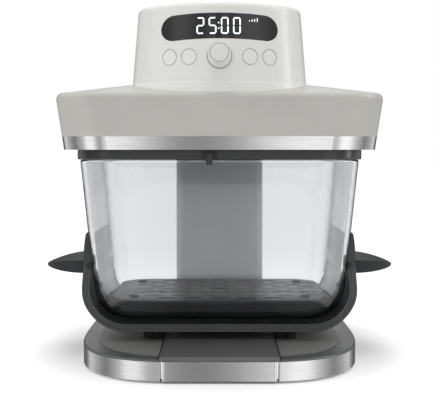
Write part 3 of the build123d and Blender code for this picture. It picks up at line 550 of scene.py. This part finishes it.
@dataclass
class BaseUnit:
    """The base with its inlay, guide, steel band and feet."""

    half_x: float = 0.135
    half_y: float = 0.1612
    middle_y: float = -0.0012
    front_y: float = -0.160
    power: float = 3.3
    inlay_inset: float = 0.0145
    line_overlap: float = 0.0002
    line_width: float = 0.0011
    line_depth: float = 0.0005
    line_top: float = 0.02153
    line_points: int = 161
    guide_half: float = 0.0548
    column_half: float = 0.0512
    plate_low: float = 0.0041
    plate_high: float = 0.0195
    edge_bevel: float = 0.0004
    edge_end: float = 0.7
    edge_section: tuple[Span, ...] = ((0.0503, 0.0030), (0.0503, 0.0006), (0.0527, 0.0013),
                                      (0.0530, 0.0016), (0.0530, 0.0030))
    finishes: tuple[Dressed, ...] = (
        ("base_top_cover", RIM_DARK), ("base_inlay", INLAY_GREY),
        ("container_guide", GUIDE_DARK), ("base_trim_band", BAND_STEEL),
        ("base_front_plate", PLATE_STEEL), ("base_bottom_pan", BLACK_PLASTIC),
        ("base_rubber_feet", RUBBER), ("base_screws", PLAIN_STEEL))

    def ring(self, inset: float, angles: np.ndarray) -> np.ndarray:
        """The base outline at an inset: x and y are the half sizes times |cos| and |sin| to the
        power of two over the superellipse's power, with the front held back to a flat line.

        Args:
            inset: how far inside the base's edge.
            angles: the parameter, in radians.

        Returns:
            Points of shape (n, 2).
        """
        c, s = np.cos(angles), np.sin(angles)
        share = 2.0 / self.power
        x = (self.half_x - inset) * np.sign(c) * np.abs(c) ** share
        y = self.middle_y + (self.half_y - inset) * np.sign(s) * np.abs(s) ** share
        return np.column_stack([x, np.maximum(y, self.front_y + inset)])

    def build_lines(self) -> None:
        """Two fine polished lines round the inlay, broken at the guide and at the column."""
        angles = np.linspace(-math.pi / 2 + self.front_angle(), math.pi / 2 - self.rear_angle(),
                             self.line_points)
        count = len(angles)
        top = np.full(count, self.line_top)
        under = top - self.line_depth
        faces = [list(f) for f in grid_faces(4, count, True, False)]
        faces += [[0, count, 2 * count, 3 * count],
                  [4 * count - 1, 3 * count - 1, 2 * count - 1, count - 1]]
        for side, name in ((1.0, "inlay_line_right"), (-1.0, "inlay_line_left")):
            outer = self.ring(self.inlay_inset - self.line_overlap, angles) * (side, 1.0)
            inner = self.ring(self.inlay_inset + self.line_width, angles) * (side, 1.0)
            rings = [np.column_stack([outer, under]), np.column_stack([outer, top]),
                     np.column_stack([inner, top]), np.column_stack([inner, under])]
            mesh_piece(name, np.vstack(rings), faces, LINE_STEEL, Body.BASE, False)

    def build_plate_edges(self) -> None:
        """Two polished strips that round off the ends of the front plate: a section with a
        slanting face, carried up the plate's height between two small bevels."""
        section = np.array(self.edge_section)
        middle = section.mean(axis=0)
        levels = ((self.plate_low, self.edge_end), (self.plate_low + self.edge_bevel, 1.0),
                  (self.plate_high - self.edge_bevel, 1.0), (self.plate_high, self.edge_end))
        count = len(section)
        for side, name in ((1.0, "plate_edge_right"), (-1.0, "plate_edge_left")):
            loops = []
            for height, share in levels:
                flat = middle + (section - middle) * share
                loops.append(np.column_stack([side * flat[:, 0], self.front_y + flat[:, 1],
                                              np.full(count, height)]))
            faces = [list(f) for f in grid_faces(len(levels), count, False, True)]
            faces += [list(range(count)), list(range(3 * count, 4 * count))]
            mesh_piece(name, np.vstack(loops), faces, EDGE_STEEL, Body.BASE, False)

    def front_angle(self) -> float:
        """The angle from the front at which the outline reaches the guide's side."""
        share = self.guide_half / (self.half_x - self.inlay_inset)
        return math.asin(share ** (self.power / 2))

    def rear_angle(self) -> float:
        """The angle from the rear at which the outline reaches the column's side."""
        share = self.column_half / (self.half_x - self.inlay_inset)
        return math.asin(share ** (self.power / 2))

    def build(self) -> None:
        """Dresses the base, then adds its lines and the front plate's end strips."""
        dress_nodes(self.finishes)
        self.build_lines()
        self.build_plate_edges()


@dataclass
class ColumnUnit:
    """The rear column with its bracket, pin and cord inlet."""

    finishes: tuple[Dressed, ...] = (
        ("column_shell", COLUMN_GREY), ("column_rear_cover", COLUMN_GREY),
        ("column_bracket", PLAIN_STEEL), ("cord_gland", BLACK_PLASTIC),
        ("hinge_pin", PLAIN_STEEL), ("hinge_clips", PLAIN_STEEL))

    def build(self) -> None:
        """Dresses the column."""
        dress_nodes(self.finishes)


@dataclass
class ContainerUnit:
    """The glass container in its cradle, with the crisper plate."""

    finishes: tuple[Dressed, ...] = (
        ("glass_container", CLEAR_GLASS), ("cradle_strap", DARK_SATIN),
        ("handle_left", HANDLE_BLACK), ("handle_right", HANDLE_BLACK),
        ("handle_screws", PLAIN_STEEL), ("cradle_feet", RUBBER), ("glass_pads", SILICONE),
        ("interlock_tab", RING_DARK), ("crisper_plate", NONSTICK),
        ("crisper_bumpers", SILICONE))
    half: float = 0.1337
    low: float = 0.031
    bend: float = 0.044
    front: float = -0.080
    lean_from: float = 0.062
    lean_radius: float = 0.020
    front_run: float = 0.022
    front_rise: float = 0.034
    bead_top: float = 0.092
    bead_width: float = 0.0011
    bead_height: float = 0.0007
    bead_sunk: float = 0.0002
    bead_points: int = 9
    bead_insets: tuple[float, ...] = (0.0012, 0.0040, 0.0066)
    flat_points: int = 8
    turn_points: int = 33
    rise_points: int = 14

    def path(self, inset: float) -> np.ndarray:
        """The cradle's front edge at an inset from its outside, from one arm down, along the
        bottom and up the other arm: straight runs joined by quarter turns of the bend's radius.
        Above the level that the front leans from, y goes back along a turn and then a slope.

        Args:
            inset: how far inside the cradle's outer outline.

        Returns:
            Centre line points and, in the last two columns, the outward direction in x and z.
        """
        middle_x, middle_z = self.half - self.bend, self.low + self.bend
        turn = np.linspace(0.0, math.pi / 2, self.turn_points)
        radius = self.bend - inset
        flat = np.linspace(0.0, middle_x, self.flat_points + 1)[:-1]
        rise = np.linspace(middle_z, self.bead_top, self.rise_points + 1)[1:]
        x = np.concatenate([flat, middle_x + radius * np.sin(turn),
                            np.full(self.rise_points, self.half - inset)])
        z = np.concatenate([np.full(self.flat_points, self.low + inset),
                            middle_z - radius * np.cos(turn), rise])
        angle = np.concatenate([np.zeros(self.flat_points), turn,
                                np.full(self.rise_points, math.pi / 2)])
        lean = math.atan2(self.front_run, self.front_rise)
        start = self.lean_from - self.lean_radius * math.tan(lean / 2)
        end = start + self.lean_radius * math.sin(lean)
        arc = np.clip(z - start, 0.0, self.lean_radius * math.sin(lean))
        back = self.lean_radius - np.sqrt(self.lean_radius ** 2 - arc ** 2)
        back += np.clip(z - end, 0.0, None) * math.tan(lean)
        half = np.column_stack([x, self.front + back, z, np.sin(angle), -np.cos(angle)])
        other = half[:0:-1] * (-1, 1, 1, -1, 1)
        return np.vstack([other, half])

    def build_bead(self, name: str, inset: float) -> None:
        """A raised bead on the cradle's front edge: a half ellipse swept along the path, in a grey
        lighter than the strap that paints a highlight along the ridge.
        """
        line = self.path(inset)
        t = np.linspace(0.0, math.pi, self.bead_points)
        rows = []
        for across, proud in zip(self.bead_width / 2 * np.cos(t), self.bead_height * np.sin(t)):
            rows.append(np.column_stack([line[:, 0] + line[:, 3] * across,
                                         line[:, 1] - proud + self.bead_sunk,
                                         line[:, 2] + line[:, 4] * across]))
        count = len(line)
        starts = [row * count for row in range(self.bead_points)]
        faces = [list(f) for f in grid_faces(self.bead_points, count, True, False)]
        faces += [starts, [start + count - 1 for start in reversed(starts)]]
        mesh_piece(name, np.vstack(rows), faces, BEAD_HIGHLIGHT_GREY, Body.CONTAINER)

    def build(self) -> None:
        """Dresses the container, adds the cradle's beads and lets lamps shine through the glass."""
        dress_nodes(self.finishes)
        for number, inset in enumerate(self.bead_insets):
            self.build_bead(f"cradle_bead_{number + 1}", inset)
        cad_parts["glass_container"].visible_shadow = False


@dataclass
class TowerFront:
    """The bowed front of the tower between two heights."""

    low: tuple[float, float, float] = (0.271, -0.1254, 0.097)
    high: tuple[float, float, float] = (0.3415, -0.1146, 0.092)

    def place(self, x: np.ndarray, z: np.ndarray, proud: float) -> np.ndarray:
        """Points on the front: the front line and the radius go evenly from the low station to
        the high one, and y is the front line plus the radius less its root of (r² - x²).

        Args:
            x: sideways places in metres.
            z: heights in metres.
            proud: how far outside the surface.

        Returns:
            Points of shape (n, 3).
        """
        share = (z - self.low[0]) / (self.high[0] - self.low[0])
        front = self.low[1] + share * (self.high[1] - self.low[1])
        radius = self.low[2] + share * (self.high[2] - self.low[2])
        reach = radius + proud
        y = front + radius - np.sqrt(reach ** 2 - x ** 2)
        return np.column_stack([x, y, z])


SEGMENTS: dict[str, str] = {"0": "abcdef", "2": "abged", "5": "afgcd"}


@dataclass
class Display:
    """Seven-segment numerals and a small level mark behind the black lens."""

    centre_x: float = -0.0008
    centre_z: float = 0.3196
    digit_width: float = 0.0058
    digit_height: float = 0.0142
    pitch: float = 0.0111
    stroke: float = 0.00062
    corner_gap: float = 0.62
    proud: float = 0.00006
    sunk: float = 0.0001
    shown: str = "2500"
    colon_reach: float = 0.0026
    dot_half: float = 0.0007
    mark_count: int = 4
    mark_x: float = 0.0282
    mark_pitch: float = 0.0024
    mark_span: Span = (0.0040, 0.0054)
    mark_step: float = 0.0007
    mark_stroke: float = 0.00036
    front: TowerFront = field(default_factory=TowerFront)

    def stroke_points(self, start: tuple, end: tuple, stroke: float = 0.0) -> np.ndarray:
        """A bar with round ends: along its length s runs from -1 to 1, and the half width is the
        stroke times the root of one less the square of the part of s past the straight run.

        Args:
            start: one end in panel coordinates.
            end: the other end.
            stroke: half its width, or zero for the numerals' own.

        Returns:
            A grid of shape (17, 5, 2).
        """
        stroke = stroke or self.stroke
        a, b = np.asarray(start, float), np.asarray(end, float)
        length = float(np.linalg.norm(b - a))
        along = (b - a) / length
        across = np.array([-along[1], along[0]])
        half = length / 2
        s = np.sin(np.linspace(-math.pi / 2, math.pi / 2, 17)) * half
        past = np.clip((np.abs(s) - (half - stroke)) / stroke, 0, 1)
        width = stroke * np.sqrt(np.clip(1 - past ** 2, 0, None))
        t = np.linspace(-1, 1, 5)
        middle = (a + b) / 2
        return (middle + s[:, None, None] * along
                + (t[None, :, None] * width[:, None, None]) * across)

    def bars(self, digit: str, centre: float) -> list[np.ndarray]:
        """The bars of one numeral.

        Args:
            digit: the numeral.
            centre: its middle along x.

        Returns:
            One grid of panel points for each bar.
        """
        w, h = self.digit_width / 2, self.digit_height / 2
        gap = self.stroke * self.corner_gap
        corners = {
            "a": ((-w + gap, h), (w - gap, h)), "g": ((-w + gap, 0), (w - gap, 0)),
            "d": ((-w + gap, -h), (w - gap, -h)), "f": ((-w, h - gap), (-w, gap)),
            "b": ((w, h - gap), (w, gap)), "e": ((-w, -gap), (-w, -h + gap)),
            "c": ((w, -gap), (w, -h + gap)),
        }
        return [self.stroke_points((corners[k][0][0] + centre, corners[k][0][1]),
                                   (corners[k][1][0] + centre, corners[k][1][1]))
                for k in SEGMENTS[digit]]

    def build(self) -> None:
        """Builds the numerals, the colon and the level mark as thin closed plates."""
        grids = []
        for place, digit in enumerate(self.shown):
            grids += self.bars(digit, (place - 1.5) * self.pitch)
        for height in (-self.colon_reach, self.colon_reach):
            grids.append(self.stroke_points((0.0, height - self.dot_half),
                                            (0.0, height + self.dot_half)))
        low, high = self.mark_span
        for step in range(self.mark_count):
            x = self.mark_x + self.mark_pitch * step
            grids.append(self.stroke_points((x, low), (x, high + self.mark_step * step),
                                            self.mark_stroke))
        points, faces = [], []
        for grid in grids:
            rows, columns, _ = grid.shape
            flat = grid.reshape(-1, 2)
            x, z = self.centre_x + flat[:, 0], self.centre_z + flat[:, 1]
            start = sum(len(p) for p in points)
            points.append(self.front.place(x, z, self.proud))
            points.append(self.front.place(x, z, -self.sunk))
            top = grid_faces(rows, columns, False, False)
            under = top[:, ::-1] + rows * columns
            edge = np.concatenate([np.arange(columns), np.arange(1, rows) * columns + columns - 1,
                                   (rows - 1) * columns + np.arange(columns - 2, -1, -1),
                                   np.arange(rows - 2, 0, -1) * columns])
            after = np.roll(edge, -1)
            wall = np.stack([edge, edge + rows * columns, after + rows * columns, after], axis=1)
            faces.append(np.concatenate([top, under, wall]) + start)
        mesh_piece("display_numerals", np.concatenate(points), list(np.concatenate(faces)),
                   LIT_WHITE, Body.HEAD, False)


@dataclass
class Controls:
    """Fine grey rings of painted shade: in the gaps round the four buttons and the dial, and at the
    dial face's rounded edge.
    """

    button_places: tuple[float, ...] = (-0.046, -0.028, 0.028, 0.046)
    height: float = 0.2914
    button_radius: float = 0.0071
    front_radius: float = 0.0955
    line_width: float = 0.00045
    line_height: float = 0.00012
    line_sunk: float = 0.0003
    dial_centre: Point = (0.0, -0.122275, 0.2914)
    dial_out: Point = (0.0, -0.988469, 0.151425)
    face_reach: float = 0.0149
    face_radius: float = 0.0081
    well_radius: float = 0.0109

    def section(self, radius: float) -> tuple[Span, ...]:
        """The four corners of a line's section, as reach from its centre and height."""
        outer = radius + self.line_width
        return ((radius, -self.line_sunk), (radius, self.line_height),
                (outer, self.line_height), (outer, -self.line_sunk))

    def build_gap_shade(self, name: str, x: float, radius: float) -> None:
        """A flat ring of painted shade over the gap round a button or the dial, following the
        tower's bowed front.

        Args:
            name: the piece's name.
            x: its centre, sideways.
            radius: its inner radius.
        """
        turn = full_turn()
        front = TowerFront()
        level = math.sqrt(1 - (x / self.front_radius) ** 2)
        rows = [front.place(x + level * reach * np.cos(turn), self.height + reach * np.sin(turn),
                            proud)
                for reach, proud in self.section(radius)]
        faces = grid_faces(4, len(turn), True, True)
        mesh_piece(name, np.vstack(rows), list(faces), PAINTED_SHADE_GREY, Body.HEAD,
                   False)

    def build_dial_edge_shade(self) -> None:
        """A fine ring of painted shade on the dial's face, just inside its rounded edge."""
        turn = full_turn()
        out = np.array(self.dial_out)
        side = np.array((1.0, 0.0, 0.0))
        rise = -np.cross(out, side)
        rows = []
        for reach, height in self.section(self.face_radius):
            flat = reach * (np.cos(turn)[:, None] * side + np.sin(turn)[:, None] * rise)
            rows.append(np.array(self.dial_centre) + flat + out * (self.face_reach + height))
        faces = grid_faces(4, len(turn), True, True)
        mesh_piece("dial_edge_shade", np.vstack(rows), list(faces), PAINTED_SHADE_GREY, Body.DIAL,
                   False)

    def build(self) -> None:
        """Builds every ring of painted shade."""
        for number, x in enumerate(self.button_places):
            self.build_gap_shade(f"button_gap_shade_{number + 1}", x, self.button_radius)
        self.build_gap_shade("dial_gap_shade", 0.0, self.well_radius)
        self.build_dial_edge_shade()


@dataclass
class TowerSkirt:
    """The foot of the tower, a little proud of it up to a rounded step."""

    stations: tuple[tuple[float, ...], ...] = ((0.254, 0.0866, -0.1276, 0.100, 0.058),
                                               (0.271, 0.0840, -0.1254, 0.097, 0.056))
    rear: float = 0.130
    rear_corner: float = 0.030
    proud: float = 0.0009
    sunk: float = 0.0006
    foot: float = 0.2552
    step: float = 0.2688
    step_section: tuple[Span, ...] = ((-0.0008, 1.0), (-0.0003, 0.85), (0.0, 0.5), (0.0001, 0.0))
    side_turns: Span = (1.56, 1.58)

    def outline(self, z: float, proud: float, turns: np.ndarray) -> np.ndarray:
        """The tower's plan at a height: half of it is three arcs one after another, each its
        centre plus its radius times (sin a, -cos a), which leaves straight runs between them.

        Args:
            z: the height.
            proud: how far outside the plan.
            turns: angles from the front to the rear, from zero to half a turn.

        Returns:
            A closed loop of shape (n, 3).
        """
        share = (z - self.stations[0][0]) / (self.stations[1][0] - self.stations[0][0])
        low, high = np.array(self.stations)
        _, half_width, front, radius, corner = low + share * (high - low)
        turn = math.asin((half_width - corner) / (radius - corner))
        middle = front + radius
        centres = ((0.0, middle, radius + proud),
                   ((radius - corner) * math.sin(turn), middle - (radius - corner) * math.cos(turn),
                    corner + proud),
                   (half_width - self.rear_corner, self.rear - self.rear_corner,
                    self.rear_corner + proud))
        pick = np.digitize(turns, (turn, math.pi / 2))
        x, y, reach = np.array(centres)[pick].T
        half = np.column_stack([x + reach * np.sin(turns), y - reach * np.cos(turns),
                                np.full(len(turns), z)])
        return np.vstack([half, half[:0:-1] * (-1, 1, 1)])

    def build(self) -> None:
        """The skirt: a closed section, whose step is a row of heights over it and shares of the
        reach, carried round the outline; the straight sides run between two close angles."""
        before, after = self.side_turns
        turns = np.concatenate([np.linspace(0.0, before, 61), np.linspace(after, math.pi, 31)])
        section = [(self.foot, -self.sunk), (self.foot, self.proud)]
        section += [(self.step + rise, self.proud * share) for rise, share in self.step_section]
        section.append((self.step, -self.sunk))
        loops = [self.outline(z, proud, turns) for z, proud in section]
        faces = grid_faces(len(section), len(loops[0]), True, True)
        mesh_piece("tower_skirt", np.vstack(loops), list(faces), TOWER_LIGHT, Body.HEAD)


@dataclass
class HeadUnit:
    """The tilting head: shells, band, ring, heating and air parts, boards and controls."""

    shells: tuple[Dressed, ...] = (
        ("tower_shell", TOWER_LIGHT), ("collar_shell", COLLAR_GREY), ("trim_band", TRIM_STEEL),
        ("bottom_cover", BLACK_PLASTIC), ("ring_frame", RING_DARK), ("lid_gasket", SILICONE),
        ("switch_housing", BLACK_PLASTIC))
    heating: tuple[Dressed, ...] = (
        ("liner", LINER_METAL), ("heater_coil", COIL_STEEL), ("fan_guard", LINER_METAL),
        ("guard_posts", PLAIN_STEEL), ("insulation_plate", INSULATION),
        ("head_frame", PLAIN_STEEL), ("hinge_bushes", BRASS), ("motor_bracket", PLAIN_STEEL),
        ("fan_motor", LINER_METAL), ("motor_shaft", PLAIN_STEEL),
        ("convection_fan", LINER_METAL), ("cooling_fan", FAN_PLASTIC))
    controls: tuple[Dressed, ...] = (
        ("power_board", BOARD_GREEN), ("control_board", BOARD_GREEN),
        ("display_module", BLACK_PLASTIC), ("display_window", LENS_BLACK),
        ("button_carrier", BLACK_PLASTIC), ("tact_switches", BLACK_PLASTIC),
        ("encoder_body", BLACK_PLASTIC), ("encoder_rotor", PLAIN_STEEL),
        ("dial_knob", CAP_LIGHT), ("button_outer_left", CAP_LIGHT),
        ("button_inner_left", CAP_LIGHT), ("button_inner_right", CAP_LIGHT),
        ("button_outer_right", CAP_LIGHT))

    def build(self) -> None:
        """Dresses the head and builds its display, its rings of painted shade round the controls
        and the tower's skirt.
        """
        dress_nodes(self.shells)
        dress_nodes(self.heating)
        dress_nodes(self.controls)
        Display().build()
        Controls().build()
        TowerSkirt().build()


# Studio

@dataclass(frozen=True)
class SoftBox:
    """A soft rectangular lamp, which no glass shows and which metal shows only if mirrored."""

    name: str
    place: Point
    size: Span
    power: float
    mirrored: bool = False

    def build(self, target: Point) -> None:
        """Places the lamp so that it looks at a point.

        Args:
            target: the point, in metres.
        """
        data = bpy.data.lights.new(self.name, "AREA")
        data.shape = "RECTANGLE"
        data.size, data.size_y = self.size
        data.energy = self.power
        lamp = bpy.data.objects.new(self.name, data)
        lamp.location = self.place
        lamp.visible_glossy = self.mirrored
        lamp.visible_transmission = False
        aim = Vector(target) - Vector(self.place)
        lamp.rotation_euler = aim.to_track_quat("-Z", "Y").to_euler()
        bpy.context.scene.collection.objects.link(lamp)


@dataclass
class Studio:
    """The pale floor, soft lights, surround and camera."""

    eye: Point = (-0.0005, -0.998, 0.2083)
    pitch: float = 3.16
    lens: float = 78.9
    sensor: float = 36.0
    target: Point = (0.0, 0.0, 0.2)
    lamps: tuple[SoftBox, ...] = (
        SoftBox("soft_left", (-1.35, -0.35, 0.62), (0.45, 1.1), 5.5),
        SoftBox("soft_right", (1.35, -0.12, 0.62), (0.14, 1.1), 4.5, mirrored=True),
        SoftBox("soft_top", (0.0, -0.05, 1.6), (1.2, 0.8), 9.0),
        SoftBox("soft_front", (0.0, -2.4, 0.42), (2.0, 0.7), 14.0))
    floor_half: float = 6.0
    floor_back: float = 3.0
    floor_drop: float = 0.00002
    floor_points: int = 5
    floor_near: Colour = (248, 248, 248)
    floor_far: Colour = (120, 120, 120)
    away_span: Span = (1.5, 6.0)
    near_span: Span = (0.95, 1.55)
    near_glow: Span = (0.04, 0.5)
    far_glow: float = 0.96
    soft_level: float = 0.5
    base_share: Point = (7.0, 6.0, 0.0)
    gain: float = 1.25
    panels: tuple[Span, ...] = (
        (-176, 0.9), (-169, 0.08), (-146, 0.1), (-134, 0.6), (-113, 0.36), (-92, 0.17),
        (-66, 0.46), (-56, 0.87), (-40, 0.87), (-29, 0.42), (-20, 0.3), (-11, 0.8), (-7.4, 1.0),
        (-5.6, 1.0), (-4.4, 0.45), (-3.3, 0.1), (-1.0, 0.1), (1.2, 0.25), (2.6, 0.55),
        (3.8, 0.92), (6.2, 1.0), (8.0, 0.8), (14, 0.42), (30, 0.95), (47, 0.95), (66, 0.5),
        (92, 0.19), (114, 0.36), (134, 0.6), (146, 0.1), (169, 0.08), (176, 0.9))
    steep: Span = (0.35, 0.6)

    def build_floor(self) -> None:
        """A wide level floor: a plane whose points lie on a square grid just under height zero.
        Its glow grows with the distance from the base, so that a soft shade stays round it."""
        line = np.linspace(-self.floor_half, self.floor_half, self.floor_points)
        x, y = np.meshgrid(line, line + self.floor_back, indexing="ij")
        points = np.stack([x.ravel(), y.ravel(), np.full(x.size, -self.floor_drop)], axis=1)
        mesh = bpy.data.meshes.new("floor")
        quads = grid_faces(self.floor_points, self.floor_points, False, False)
        mesh.from_pydata(points.tolist(), [], quads.tolist())
        floor = bpy.data.objects.new("floor", mesh)
        bpy.context.scene.collection.objects.link(floor)
        recipe = Recipe("floor white").set(Roughness=0.9)
        tree = recipe.tree
        reach = tree.nodes.new("ShaderNodeVectorMath")
        reach.operation = "LENGTH"
        tree.links.new(scaled_position(tree, self.base_share), reach.inputs[0])
        away = ranged(tree, reach.outputs["Value"], self.away_span, (0.0, 1.0))
        near = ranged(tree, reach.outputs["Value"], self.near_span, self.near_glow)
        recipe.link(recipe.colour_between(away, self.floor_near, self.floor_far), "Base Color")
        path = tree.nodes.new("ShaderNodeLightPath")
        seen = worked_out(tree, "MAXIMUM", path.outputs["Is Camera Ray"],
                          path.outputs["Is Transmission Ray"])
        glow = between(tree, away, near, self.far_glow)
        recipe.surface.inputs["Emission Color"].default_value = (1, 1, 1, 1)
        recipe.link(worked_out(tree, "MULTIPLY", seen, glow), "Emission Strength")
        mesh.materials.append(recipe.material)
        floor.visible_glossy = False
        floor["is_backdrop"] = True

    def build_world(self) -> None:
        """A surround that is white to the camera and through glass, grey as a light, and in
        mirrors a row of soft panels by the ray's heading, white again where the ray is steep."""
        world = bpy.data.worlds.new("surround")
        world.use_nodes = True
        tree = world.node_tree
        back = tree.nodes["Background"]
        path = tree.nodes.new("ShaderNodeLightPath")
        heading = tree.nodes.new("ShaderNodeTexCoord")
        parts = tree.nodes.new("ShaderNodeSeparateXYZ")
        tree.links.new(heading.outputs["Generated"], parts.inputs[0])
        forward = worked_out(tree, "MULTIPLY", parts.outputs["Y"], -1.0)
        around_z = worked_out(tree, "ARCTAN2", parts.outputs["X"], forward)
        ramp = tree.nodes.new("ShaderNodeValToRGB")
        stops = ramp.color_ramp.elements
        while len(stops) < len(self.panels):
            stops.new(0.5)
        for stop, (degrees, level) in zip(stops, self.panels):
            stop.position = (degrees + 180) / 360
            stop.color = (level, level, level, 1)
        turned = ranged(tree, around_z, (-math.pi, math.pi), (0.0, 1.0))
        tree.links.new(turned, ramp.inputs[0])
        panels = worked_out(tree, "MULTIPLY", ramp.outputs["Color"], self.gain)
        height = worked_out(tree, "ABSOLUTE", parts.outputs["Z"])
        steep = ranged(tree, height, self.steep, (0.0, 1.0))
        mirrored = between(tree, steep, panels, 1.0)
        around = between(tree, path.outputs["Is Glossy Ray"], self.soft_level, mirrored)
        around = between(tree, path.outputs["Is Transmission Ray"], around, 1.0)
        seen = between(tree, path.outputs["Is Camera Ray"], around, 1.0)
        tree.links.new(seen, back.inputs["Strength"])
        back.inputs["Color"].default_value = (1, 1, 1, 1)
        bpy.context.scene.world = world

    def build(self) -> None:
        """Places floor, lights, surround and camera."""
        self.build_floor()
        self.build_world()
        for lamp in self.lamps:
            lamp.build(self.target)
        data = bpy.data.cameras.new("camera")
        data.lens = self.lens
        data.sensor_width = self.sensor
        data.sensor_fit = "HORIZONTAL"
        camera = bpy.data.objects.new("camera", data)
        camera.location = self.eye
        camera.rotation_euler = Euler((math.radians(90 - self.pitch), 0, 0))
        bpy.context.scene.collection.objects.link(camera)
        bpy.context.scene.camera = camera
        bpy.context.scene.view_settings.view_transform = "Standard"


def write_sizes() -> None:
    """Puts the CAD box and the dressed model's box into plain numbers, which nothing writes out."""
    def plain(value: object) -> object:
        """Turns vectors and nested lists into lists of floats."""
        if hasattr(value, "__len__"):
            return [plain(v) for v in value]
        return float(value)

    {"cad": plain(CAD_BOX), "visual": plain(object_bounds())}


def main() -> None:
    """Builds the studio and every sub-assembly in order."""
    logging.basicConfig(level=logging.INFO, format="%(message)s")
    Studio().build()
    for unit in (BaseUnit(), ColumnUnit(), ContainerUnit(), HeadUnit()):
        unit.build()
    write_sizes()


if __name__ == "__main__":
    main()
